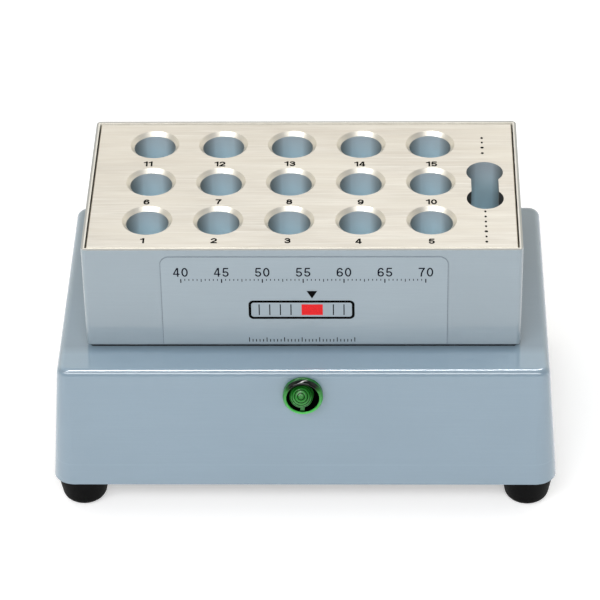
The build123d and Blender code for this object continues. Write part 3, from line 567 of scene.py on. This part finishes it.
MATERIALS = {
    "cover_paint": cover_paint(),
    "housing_paint": housing_paint(),
    "black_paint": black_paint(),
    "block_aluminium": block_aluminium(),
    "foot_rubber": foot_rubber(),
    "label_film": label_film(),
    "gasket_foam": foam("gasket_foam", (0.020, 0.022, 0.025)),
    "ceramic_felt": felt("ceramic_felt", (0.80, 0.79, 0.75)),
    "plated_steel": metal("plated_steel", (0.62, 0.63, 0.64), rough=0.26, size=(0.5, 0.5, 0.18), depth=0.006, spots=0.25).m,
    "ceramic": ceramic("ceramic", (0.78, 0.76, 0.70)),
    "tinned_copper": metal("tinned_copper", (0.66, 0.65, 0.62), rough=0.32, size=(2, 0.3, 0.3), spots=0.3).m,
    "brass": metal("brass", (0.72, 0.52, 0.22), rough=0.25, size=(0.5, 0.5, 0.16), depth=0.006, spots=0.35).m,
    "plain_aluminium": metal("plain_aluminium", (0.74, 0.75, 0.76), rough=0.34, size=(14, 0.3, 0.3), depth=0.006, spots=0.1).m,
    "nickel_pins": metal("nickel_pins", (0.70, 0.67, 0.60), rough=0.2, size=(0.2, 3, 0.2), depth=0.004, spots=0.1).m,
    "spring_steel": metal("spring_steel", (0.42, 0.44, 0.48), rough=0.3, size=(0.3, 0.3, 3), depth=0.004, spots=0.3).m,
    "black_nylon": plastic("black_nylon", (0.014, 0.014, 0.015), rough=0.40, texture=0.45, depth=0.010, variation=0.2).m,
    "drawer_nylon": plastic("drawer_nylon", (0.018, 0.018, 0.020), rough=0.36, texture=0.35, depth=0.008, variation=0.2).m,
    "rocker_plastic": plastic("rocker_plastic", (0.016, 0.016, 0.017), rough=0.30, texture=0.6, depth=0.005, variation=0.2, coat=0.2, coat_rough=0.2).m,
    "terminal_nylon": plastic("terminal_nylon", (0.68, 0.66, 0.58), rough=0.42, texture=0.5, depth=0.010, variation=0.05).m,
    "phenolic": plastic("phenolic", (0.050, 0.028, 0.020), rough=0.38, texture=0.4, depth=0.012, variation=0.25).m,
    "green_lens": lens_plastic("green_lens"),
    "fuse_glass": fuse_glass(),
    "lamp_bulb": lamp_bulb(),
    "plate_foil": plate_foil(),
    "bimetal": bimetal(),
    "silicone": silicone(),
    "wire_green": insulated("wire_green", (0.10, 0.36, 0.06)),
    "wire_white": insulated("wire_white", (0.72, 0.71, 0.68)),
    "wire_grey": insulated("wire_grey", (0.24, 0.25, 0.26)),
    "wire_brown": insulated("wire_brown", (0.16, 0.065, 0.028)),
    "wire_blue": insulated("wire_blue", (0.025, 0.10, 0.42)),
}
for n, o in nodes.items():
    slot_name = o.data.materials[0].name
    key = slot_name if slot_name in MATERIALS else slot_name.rsplit(".", 1)[0]
    mat = MATERIALS[key]
    for i in range(len(o.data.materials)):
        o.data.materials[i] = mat

# ---------------------------------------------------------------------------
# Flat printed marks: digits drawn as stroke distance fields, cut into outlines
# ---------------------------------------------------------------------------


def arc(cx, cy, rx, ry, a0, a1, n=36):
    return [(cx + rx * math.cos(math.radians(a0 + (a1 - a0) * i / n)),
             cy + ry * math.sin(math.radians(a0 + (a1 - a0) * i / n))) for i in range(n + 1)]


def width_of(ch, w, wd):
    return wd * 0.66 if ch == "1" else wd


def digit_strokes(ch, w, wd):
    """Strokes (points, width, closed) of a digit one unit tall and wd wide, stroke width w."""
    h = w / 2
    L, R, T, cx = h, wd - h, 1 - h, wd / 2
    rx = (R - L) / 2
    if ch == "0":
        return [(arc(cx, 0.5, rx, T - 0.5, 0, 360, 72)[:-1], w, True)]
    if ch == "1":
        x = width_of("1", w, wd) - h
        return [([(x, -0.2), (x, 1.2)], w, False),
                ([(0.0, 0.755), (x * 0.45, 0.775), (x * 0.78, 0.85), (x, 1.03)], w * 0.80, False)]
    if ch == "2":
        ry = 0.245
        return [(arc(cx, T - ry, rx, ry, 172, -28) + [(cx + 0.06, 0.42), (cx - 0.10, 0.30), (L + 0.02, h + 0.02)], w, False),
                ([(0.0, h), (wd, h)], w, False)]
    if ch == "3":
        return [(arc(cx - 0.005, T - 0.205, rx * 0.92, 0.205, 165, -88), w, False),
                (arc(cx, h + 0.225, rx, 0.225, 88, -168), w, False),
                ([(cx - 0.13, 0.525), (cx + 0.03, 0.525)], w * 0.92, False)]
    if ch == "4":
        x = wd * 0.70
        return [([(x, -0.2), (x, 1.2)], w, False),
                ([(x - 0.02, 1.04), (h * 0.7, 0.30)], w * 0.86, False),
                ([(0.0, 0.285), (wd, 0.285)], w * 0.92, False)]
    if ch == "5":
        return [([(wd * 0.17, T), (wd * 0.94, T)], w, False),
                ([(wd * 0.235, T), (wd * 0.16, 0.46)], w * 0.9, False),
                ([(wd * 0.16, 0.50)] + arc(cx, h + 0.238, rx, 0.238, 132, -164), w, False)]
    if ch == "6":
        return [(arc(cx, h + 0.232, rx, 0.232, 0, 360, 72)[:-1], w, True),
                (arc(cx + 0.015, 0.5, rx + 0.015, T - 0.5, 38, 205), w, False)]
    if ch == "7":
        return [([(0.02, T), (wd - 0.01, T)], w, False),
                ([(R + 0.01, T), (wd * 0.64, 0.66), (wd * 0.48, 0.38), (wd * 0.38, -0.2)], w, False)]
    if ch == "8":
        return [(arc(cx, T - 0.195, rx * 0.86, 0.195, 0, 360, 72)[:-1], w, True),
                (arc(cx, h + 0.226, rx, 0.226, 0, 360, 72)[:-1], w, True)]
    if ch == "9":
        return [([(wd - x, 1 - y) for x, y in p], ww, c) for p, ww, c in digit_strokes("6", w, wd)]
    raise ValueError(ch)


def stroke_field(strokes):
    """Signed distance to the union of the strokes, ends cut square, cut to 0 <= y <= 1."""

    def field(X, Y):
        best = np.full(X.shape, 1e9)
        for pts, w, closed in strokes:
            p = np.array(pts, float)
            n = len(p) if closed else len(p) - 1
            d = np.full(X.shape, 1e9)
            for i in range(n):
                a, b = p[i], p[(i + 1) % len(p)]
                ab = b - a
                ln = float(np.hypot(*ab))
                if ln < 1e-9:
                    continue
                t = ((X - a[0]) * ab[0] + (Y - a[1]) * ab[1]) / ln
                s = ((X - a[0]) * ab[1] - (Y - a[1]) * ab[0]) / ln
                tc = np.clip(t, 0, ln)
                di = np.hypot(t - tc, s) - w / 2
                if not closed and i == 0:
                    di = np.where(t < 0, np.maximum(np.abs(s) - w / 2, -t), di)
                if not closed and i == n - 1:
                    di = np.where(t > ln, np.maximum(np.abs(s) - w / 2, t - ln), di)
                d = np.minimum(d, di)
            best = np.minimum(best, d)
        return np.maximum(best, np.maximum(Y - 1.0, -Y))

    return field


STEPS = {1: [("B", "L")], 2: [("R", "B")], 3: [("R", "L")], 4: [("T", "R")], 5: [("B", "L"), ("T", "R")],
         6: [("T", "B")], 7: [("T", "L")], 8: [("L", "T")], 9: [("B", "T")], 10: [("R", "B"), ("L", "T")],
         11: [("R", "T")], 12: [("L", "R")], 13: [("B", "R")], 14: [("L", "B")]}


def outlines(field, x0, x1, y0, y1, step):
    """Closed outlines of field < 0 by marching squares."""
    xs = np.arange(x0, x1 + step, step)
    ys = np.arange(y0, y1 + step, step)
    X, Y = np.meshgrid(xs, ys)
    G = field(X, Y)
    G = np.where(np.abs(G) < 1e-9, 1e-9, G)
    inside = G < 0
    code = inside[:-1, :-1] * 1 + inside[:-1, 1:] * 2 + inside[1:, 1:] * 4 + inside[1:, :-1] * 8
    follow = {}
    for j, i in zip(*np.nonzero((code > 0) & (code < 15))):
        edge = {"B": (i, j, 0), "T": (i, j + 1, 0), "L": (i, j, 1), "R": (i + 1, j, 1)}
        for a, b in STEPS[int(code[j, i])]:
            follow[edge[a]] = edge[b]

    def point(e):
        i, j, vertical = e
        i2, j2 = (i, j + 1) if vertical else (i + 1, j)
        g0, g1 = G[j, i], G[j2, i2]
        t = g0 / (g0 - g1)
        return (xs[i] + (xs[i2] - xs[i]) * t, ys[j] + (ys[j2] - ys[j]) * t)

    loops = []
    while follow:
        start = next(iter(follow))
        e, loop = start, []
        while e in follow:
            loop.append(point(e))
            e = follow.pop(e)
        loops.append(loop)
    return [thin(l) for l in loops if len(l) > 6]


def thin(loop, tol=0.0012):
    """Drops points that lie on the line between their neighbours."""
    keep, n = [], len(loop)
    last = loop[-1]
    for k in range(n):
        a, b, c = last, loop[k], loop[(k + 1) % n]
        ac = (c[0] - a[0], c[1] - a[1])
        ln = math.hypot(*ac) or 1e-9
        off = abs((b[0] - a[0]) * ac[1] - (b[1] - a[1]) * ac[0]) / ln
        if off > tol or math.hypot(b[0] - a[0], b[1] - a[1]) > 0.12:
            keep.append(b)
            last = b
    return keep if len(keep) > 6 else loop


GLYPHS = {}


def glyph(ch, w, wd):
    key = (ch, w, wd)
    if key not in GLYPHS:
        GLYPHS[key] = outlines(stroke_field(digit_strokes(ch, w, wd)), -0.06, wd + 0.06, -0.06, 1.06, 0.02)
    return GLYPHS[key]


def prism(bm, loops, origin, U, V, N, depth):
    """A flat plate with the loops (mm) as outline and holes, standing depth mm off origin along N."""
    tris = tessellate_polygon([[Vector((u, v, 0)) for u, v in l] for l in loops])
    flat = [p for l in loops for p in l]
    low = [bm.verts.new((origin + U * u + V * v) * MM) for u, v in flat]
    top = [bm.verts.new((origin + U * u + V * v + N * depth) * MM) for u, v in flat]
    for t in tris:
        a, b, c = (Vector((*flat[i], 0)) for i in t)
        if (b - a).cross(c - a).z < 0:
            t = t[::-1]
        bm.faces.new([top[i] for i in t])
        bm.faces.new([low[i] for i in reversed(t)])
    k = 0
    for l in loops:
        for i in range(len(l)):
            a, b = k + i, k + (i + 1) % len(l)
            bm.faces.new((low[a], low[b], top[b], top[a]))
        k += len(l)


def write_number(bm, text, centre, height, w, wd, gap, origin, U, V, N, depth, slant=0.0):
    """Digits of text, height mm tall, centred on centre=(u, v)."""
    total = sum(width_of(ch, w, wd) for ch in text) + (len(text) - 1) * gap
    x = -total / 2
    for ch in text:
        loops = [[(centre[0] + (x + px + slant * (py - 0.5)) * height, centre[1] + (py - 0.5) * height) for px, py in l]
                 for l in glyph(ch, w, wd)]
        prism(bm, loops, origin, U, V, N, depth)
        x += width_of(ch, w, wd) + gap


def rect(u0, v0, u1, v1):
    return [(u0, v0), (u1, v0), (u1, v1), (u0, v1)]


def round_rect(u0, v0, u1, v1, r, n=8, corners=(1, 1, 1, 1)):
    """Rectangle outline with rounded corners in the order lower left, lower right, upper right, upper left."""
    out = []
    for (cu, cv, a0), on in zip(((u0, v0, 180), (u1, v0, 270), (u1, v1, 0), (u0, v1, 90)), corners):
        if not on or r <= 0:
            out.append((cu, cv))
            continue
        mu = cu + (r if cu == u0 else -r)
        mv = cv + (r if cv == v0 else -r)
        out += [(mu + r * math.cos(math.radians(a0 + 90 * i / n)), mv + r * math.sin(math.radians(a0 + 90 * i / n))) for i in range(n + 1)]
    return out


def disc(u, v, r, n=20, ru=None):
    ru = ru or r
    return [(u + ru * math.cos(2 * math.pi * i / n), v + r * math.sin(2 * math.pi * i / n)) for i in range(n)]


def piece(name, bm, mats, body="incubator", smooth=False, sharp=None):
    bmesh.ops.recalc_face_normals(bm, faces=bm.faces)
    me = bpy.data.meshes.new(name)
    bm.to_mesh(me)
    bm.free()
    if smooth:
        me.polygons.foreach_set("use_smooth", [True] * len(me.polygons))
        if sharp is not None:
            me.set_sharp_from_angle(angle=math.radians(sharp))
    for m in mats if isinstance(mats, (list, tuple)) else [mats]:
        me.materials.append(m)
    o = bpy.data.objects.new(name, me)
    scene.collection.objects.link(o)
    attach(o, body)
    return o


def ink(name, base, rough=0.5, spec=0.12):
    """Screen-printed ink: slight unevenness in tone and gloss."""
    m = Mat(name, metallic=0.0, spec=spec)
    fleck = m.noise((0.25, 0.25, 0.25), 3, 0.6)
    m.colour(m.mix(fleck, shade(base, 0.8), shade(base, 1.15)))
    m.roughness(m.ramp(fleck, 0, 1, rough - 0.06, rough + 0.08))
    m.bump((fleck, 0.004, 0.4))
    return m.m


INK_BLACK = ink("ink_black", (0.002, 0.002, 0.0022), spec=0.03)
INK_NAVY = ink("ink_navy", (0.004, 0.005, 0.012), spec=0.05)
INK_RED = ink("ink_red", (0.74, 0.018, 0.022), rough=0.4)
INK_WHITE = ink("ink_white", (0.78, 0.78, 0.76), rough=0.5)
X, Y, Z = Vector((1, 0, 0)), Vector((0, 1, 0)), Vector((0, 0, 1))

# well numbers on the block, and the two columns of small dots beside the slot
NUMBERS = [(-44.57, -27.84), (-24.57, -27.88), (-4.03, -27.92), (15.78, -28.2), (36.12, -28.24),
           (-44.46, -8.78), (-24.05, -8.68), (-3.97, -8.78), (16.25, -8.93), (36.3, -8.89),
           (-45.16, 10.66), (-24.41, 10.54), (-4.22, 10.63), (15.9, 10.41), (36.59, 10.4)]
bm = bmesh.new()
for k, c in enumerate(NUMBERS):
    write_number(bm, str(k + 1), c, 2.45, 0.205, 0.71, 0.10, Vector((0, HOUS_Y, Z_TOP)), X, Y, Z, 0.03)
piece("well_numbers", bm, INK_BLACK)

bm = bmesh.new()
for x, y, half in ((51.3, 23.9, 0.36), (51.3, 21.5, 0.28), (51.3, 18.85, 0.48), (51.3, 15.96, 0.40),
                   (51.42, -13.7, 0.30), (51.42, -16.2, 0.32), (51.42, -18.7, 0.30), (51.42, -21.0, 0.30),
                   (51.42, -23.5, 0.46), (51.42, -26.0, 0.28), (51.42, -28.5, 0.38)):
    prism(bm, [disc(x, y, 0.46, 18, half * 1.05)], Vector((0, HOUS_Y, Z_TOP)), X, Y, Z, 0.03)
piece("block_dots", bm, INK_BLACK)

# front label: fine edge line, a plain temperature scale and a bar gauge
LF = Vector((0, LABEL_FACE, 0))
OUT = Vector((0, -1, 0))
LX0, LX1, LZ0, LZ1 = -39.63, 40.77, 50.1, 80.2
bm = bmesh.new()
outer = round_rect(LX0, LZ0, LX1, LZ1, 2.6, 10, (0, 0, 1, 1))
inner = round_rect(LX0 + 0.18, LZ0 + 0.0, LX1 - 0.18, LZ1 - 0.18, 2.42, 10, (0, 0, 1, 1))
loop = outer[1:] + outer[:1]
hole = inner[1:] + inner[:1]
strip = loop + hole[::-1]
prism(bm, [strip], LF, X, Z, OUT, 0.015)
EDGE = ink("label_edge_ink", (0.185, 0.222, 0.255), rough=0.5)
piece("label_edge", bm, EDGE)

bm = bmesh.new()
SCALE_V = Z_RIM - 8.0
for k, value in enumerate(range(40, 71, 5)):
    u = 0.3 + (k - 3) * 11.4
    write_number(bm, str(value), (u, SCALE_V + 0.55), 3.0, 0.135, 0.60, 0.17, LF, X, Z, OUT, 0.02)
for k in range(61):
    u = 0.3 + (k - 30) * 1.14
    tall = 1.3 if k % 10 == 0 else (0.95 if k % 5 == 0 else 0.6)
    wide = 0.16 if k % 10 == 0 else 0.11
    prism(bm, [rect(u - wide, SCALE_V - 1.75 - tall, u + wide, SCALE_V - 1.75)], LF, X, Z, OUT, 0.02)
piece("label_scale", bm, INK_NAVY)

GU0, GU1, GV0, GV1 = -15.2, 14.6, Z_RIM - 23.6, Z_RIM - 17.2
bm = bmesh.new()
prism(bm, [round_rect(GU0, GV0, GU1, GV1, 1.4, 8), round_rect(GU0 + 0.75, GV0 + 0.75, GU1 - 0.75, GV1 - 0.75, 0.75, 8)[::-1]],
      LF, X, Z, OUT, 0.02)
for k in range(1, 10):
    u = GU0 + (GU1 - GU0) * k / 10
    if k in (5, 6, 7):
        continue
    prism(bm, [rect(u - 0.15, GV0 + 1.35, u + 0.15, GV1 - 1.35)], LF, X, Z, OUT, 0.02)
mid = GU0 + (GU1 - GU0) * 0.6
prism(bm, [[(mid, GV1 + 0.7), (mid + 1.5, GV1 + 3.3), (mid - 1.5, GV1 + 3.3)]], LF, X, Z, OUT, 0.02)
for k in range(31):
    u = GU0 + (GU1 - GU0) * k / 30
    tall = 1.5 if k % 5 == 0 else 0.9
    prism(bm, [rect(u - 0.12, Z_RIM - 31.6, u + 0.12, Z_RIM - 31.6 + tall)], LF, X, Z, OUT, 0.02)
piece("label_gauge", bm, INK_BLACK)
bm = bmesh.new()
prism(bm, [rect(GU0 + (GU1 - GU0) * 0.5, GV0 + 1.35, GU0 + (GU1 - GU0) * 0.7, GV1 - 1.35)], LF, X, Z, OUT, 0.02)
piece("label_gauge_band", bm, INK_RED)

# ---------------------------------------------------------------------------
# Pilot lamp: collar, black ring in the trough, ringed dome and a small rib
# ---------------------------------------------------------------------------
FO = Vector((0, -y_wall(LAMP_Z), LAMP_Z))
FN, FX, FY = Vector((0, -C, S)), Vector((1, 0, 0)), Vector((0, S, C))


def lathe(bm, profile, segments=96, close=False, groove_shade_spans=(), centre=FO, axis=FN, side=FY):
    """Turns (r, h) mm points about the lamp axis; r = 0 makes a pole. The listed spans get the second material, a
    darker one that paints shade into grooves.
    """
    rings = []
    for r, h in profile:
        if r < 1e-6:
            rings.append([bm.verts.new((centre + axis * h) * MM)])
        else:
            rings.append([bm.verts.new((centre + axis * h + FX * (r * math.cos(2 * math.pi * k / segments))
                                        + side * (r * math.sin(2 * math.pi * k / segments))) * MM) for k in range(segments)])
    pairs = list(zip(rings, rings[1:])) + ([(rings[-1], rings[0])] if close else [])
    for span, (a, b) in enumerate(pairs):
        for k in range(segments):
            k2 = (k + 1) % segments
            if len(a) == 1:
                f = bm.faces.new((a[0], b[k], b[k2]))
            elif len(b) == 1:
                f = bm.faces.new((a[k], a[k2], b[0]))
            else:
                f = bm.faces.new((a[k], a[k2], b[k2], b[k]))
            f.material_index = int(span in groove_shade_spans)


# domed lens: a ball cut into rings about an axis that leans up, a little left of the middle of its collar
DOME_X, BALL_R, BALL_H, LEAN = -0.45, 3.36, 0.98, math.radians(30.0)
ball, groove_shade_spans = [(0.0, BALL_R + 0.02)], []
for k in range(7):
    a0, a1 = math.radians(2 if k == 0 else 16.5 * k + 2.5), math.radians(16.5 * k + 14.2)
    for i in range(5):
        a = a0 + (a1 - a0) * i / 4
        lift = 0.05 * math.sin(math.pi * i / 4)
        ball.append(((BALL_R + lift) * math.sin(a), (BALL_R + lift) * math.cos(a)))
    for turn in (1.0, 3.8):
        a = a1 + math.radians(turn)
        ball.append(((BALL_R - 0.20) * math.sin(a), (BALL_R - 0.20) * math.cos(a)))
    groove_shade_spans += [len(ball) - 3, len(ball) - 2, len(ball) - 1]
ball.append((0.0, -BALL_R))
BO = FO + FN * BALL_H + FX * DOME_X
bm = bmesh.new()
lathe(bm, ball, 112, groove_shade_spans=groove_shade_spans, centre=BO, axis=FN * math.cos(LEAN) + FY * math.sin(LEAN),
      side=FY * math.cos(LEAN) - FN * math.sin(LEAN))
cut = bmesh.ops.bisect_plane(bm, geom=bm.verts[:] + bm.edges[:] + bm.faces[:], plane_co=(FO + FN * 0.22) * MM, plane_no=FN,
                             clear_inner=True, dist=1e-9)
bmesh.ops.holes_fill(bm, edges=[e for e in bm.edges if e.is_boundary])
# its stem, through the cover
lathe(bm, [(0.0, 0.9), (2.6, 0.9), (2.6, -5.9), (3.15, -5.9), (3.15, 0.21), (0.0, 0.21)][1:5], 96, close=True)
# painted shade: the grooves between the rings get a deeper green
GROOVE_SHADE = lens_plastic("green_groove_shade", 0.16, 0.25)
lamp = piece("lamp_dome", bm, [MATERIALS["green_lens"], GROOVE_SHADE], smooth=True, sharp=50)
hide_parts("pilot_lens")

# the real collar is clear green over a black liner; here it is drawn opaque, standing on the cover, with its upper
# shoulder painted near black as painted shade
collar = [(4.66, 0.0), (5.62, 0.0), (5.69, 0.08), (5.70, 1.50), (5.695, 1.60), (5.67, 1.70), (5.56, 1.915), (5.44, 2.13),
          (5.31, 2.345), (5.24, 2.44), (5.14, 2.53), (5.02, 2.60), (4.88, 2.63), (4.76, 2.60), (4.67, 2.50), (4.62, 2.30)]
bm = bmesh.new()
lathe(bm, collar, 128, close=True)
GREEN = Mat("green_collar", metallic=0.0, coat=1.0, coat_rough=0.07, coat_ior=1.45, spec=0.0)
gx, gy, gz = GREEN.pos("X"), GREEN.pos("Y"), GREEN.pos("Z")
dy, dz = GREEN.math("SUBTRACT", gy, FO.y * MM), GREEN.math("SUBTRACT", gz, FO.z * MM)
gv = GREEN.math("ADD", GREEN.math("MULTIPLY", dy, S), GREEN.math("MULTIPLY", dz, C))
gh = GREEN.math("ADD", GREEN.math("MULTIPLY", dy, -C), GREEN.math("MULTIPLY", dz, S))
gr = GREEN.math("SQRT", GREEN.math("ADD", GREEN.math("MULTIPLY", gx, gx), GREEN.math("MULTIPLY", gv, gv)))
cosine = GREEN.math("DIVIDE", gv, gr)
# painted shade: near black over the upper shoulder
painted_dark_shoulder = GREEN.math("MULTIPLY", GREEN.ramp(cosine, 0.45, 0.75, 0, 1), GREEN.ramp(gh, 1.25 * MM, 1.65 * MM, 0, 1))
cloud = GREEN.noise((2.5, 2.5, 2.5), 3, 0.5)
# painted shade and light: the ring is a deeper green towards its top and a lighter green towards its bottom
upper = GREEN.mix(cloud, (0.008, 0.135, 0.010), (0.012, 0.165, 0.014))
lower = GREEN.mix(cloud, (0.070, 0.480, 0.085), (0.085, 0.540, 0.105))
body = GREEN.mix(GREEN.ramp(cosine, -0.9, 0.7, 0, 1), lower, upper)
GREEN.colour(GREEN.mix(painted_dark_shoulder, body, (0.0005, 0.003, 0.0006)))
GREEN.roughness(GREEN.ramp(cloud, 0, 1, 0.22, 0.30))
piece("lamp_collar", bm, GREEN.m, smooth=True, sharp=35)

# black liner: floor of the trough and a thin sleeve inside the collar
bm = bmesh.new()
lathe(bm, [(2.98, 0.02), (2.98, 0.14), (4.40, 0.14), (4.47, 0.22), (4.50, 2.14), (4.53, 2.22), (4.58, 2.22), (4.60, 2.14), (4.60, 0.02)],
      112, close=True)
RING = plastic("lamp_liner_black", (0.0012, 0.0012, 0.0012), rough=0.5, texture=0.8, depth=0.002, variation=0.2, spec=0.0)
piece("lamp_liner", bm, RING.m, smooth=True, sharp=40)

# small rib across the trough at the bottom
bm = bmesh.new()
prism(bm, [round_rect(-0.75, -4.47, 0.45, -3.20, 0.12, 3)], FO + FN * 0.2, FX, FY, FN, 1.55)
RIB = plastic("green_rib", (0.045, 0.240, 0.060), rough=0.35, texture=0.5, depth=0.004, variation=0.12, spec=0.4)
piece("lamp_rib", bm, RIB.m)

# ---------------------------------------------------------------------------
# Rear: marks on the rocker
# ---------------------------------------------------------------------------
REAR_Z, SWITCH_X = 28.4, 14.0
tilt = math.radians(11.0) - DRAFT
RO = Vector((SWITCH_X, y_wall(REAR_Z), REAR_Z)) + Vector((0, C, S)) * -2.4
RX, RY, RN = Vector((-1, 0, 0)), Vector((0, math.sin(tilt), math.cos(tilt))), None
RV = Vector((0, math.cos(tilt), -math.sin(tilt)))      # out of the rocker, along its own height
half = math.atan2(1.3, 7.5)
bm = bmesh.new()
for side in (1, -1):
    # one face of the V: from the middle (0, 1.9) to the end (7.5, 3.2)
    along = (RY * side * math.cos(half) + RV * math.sin(half))
    normal = (RV * math.cos(half) - RY * side * math.sin(half))
    centre = RO + RY * (side * 3.9) + RV * (1.9 + 3.9 * 1.3 / 7.5) + normal * 0.004
    vdir = along * side
    if side == 1:
        ringo = [disc(0, 0, 1.55, 40), disc(0, 0, 1.15, 40)[::-1]]
        prism(bm, ringo, centre, RX, vdir, normal, 0.02)
    else:
        prism(bm, [rect(-0.22, -1.55, 0.22, 1.55)], centre, RX, vdir, normal, 0.02)
piece("rocker_marks", bm, INK_WHITE, body="rocker")

# ---------------------------------------------------------------------------
# Floor
# ---------------------------------------------------------------------------
bm = bmesh.new()
N = 24
grid = [[bm.verts.new(((i / N - 0.5) * 5.0, (j / N - 0.5) * 5.0, 0.0)) for i in range(N + 1)] for j in range(N + 1)]
for j in range(N):
    for i in range(N):
        bm.faces.new((grid[j][i], grid[j][i + 1], grid[j + 1][i + 1], grid[j + 1][i]))
me = bpy.data.meshes.new("floor")
bm.to_mesh(me)
bm.free()
floor = bpy.data.objects.new("floor", me)
scene.collection.objects.link(floor)
fm = Mat("floor_white", metallic=0.0, spec=0.0)
fm.b.inputs["Emission Color"].default_value = (1, 1, 1, 1)
fm.b.inputs["Emission Strength"].default_value = 0.45
fc = fm.noise((60, 60, 60), 2, 0.5)
fm.colour(fm.mix(fc, (0.805, 0.805, 0.805), (0.815, 0.815, 0.815)))
fm.roughness(fm.ramp(fc, 0, 1, 0.75, 0.8))
me.materials.append(fm.m)
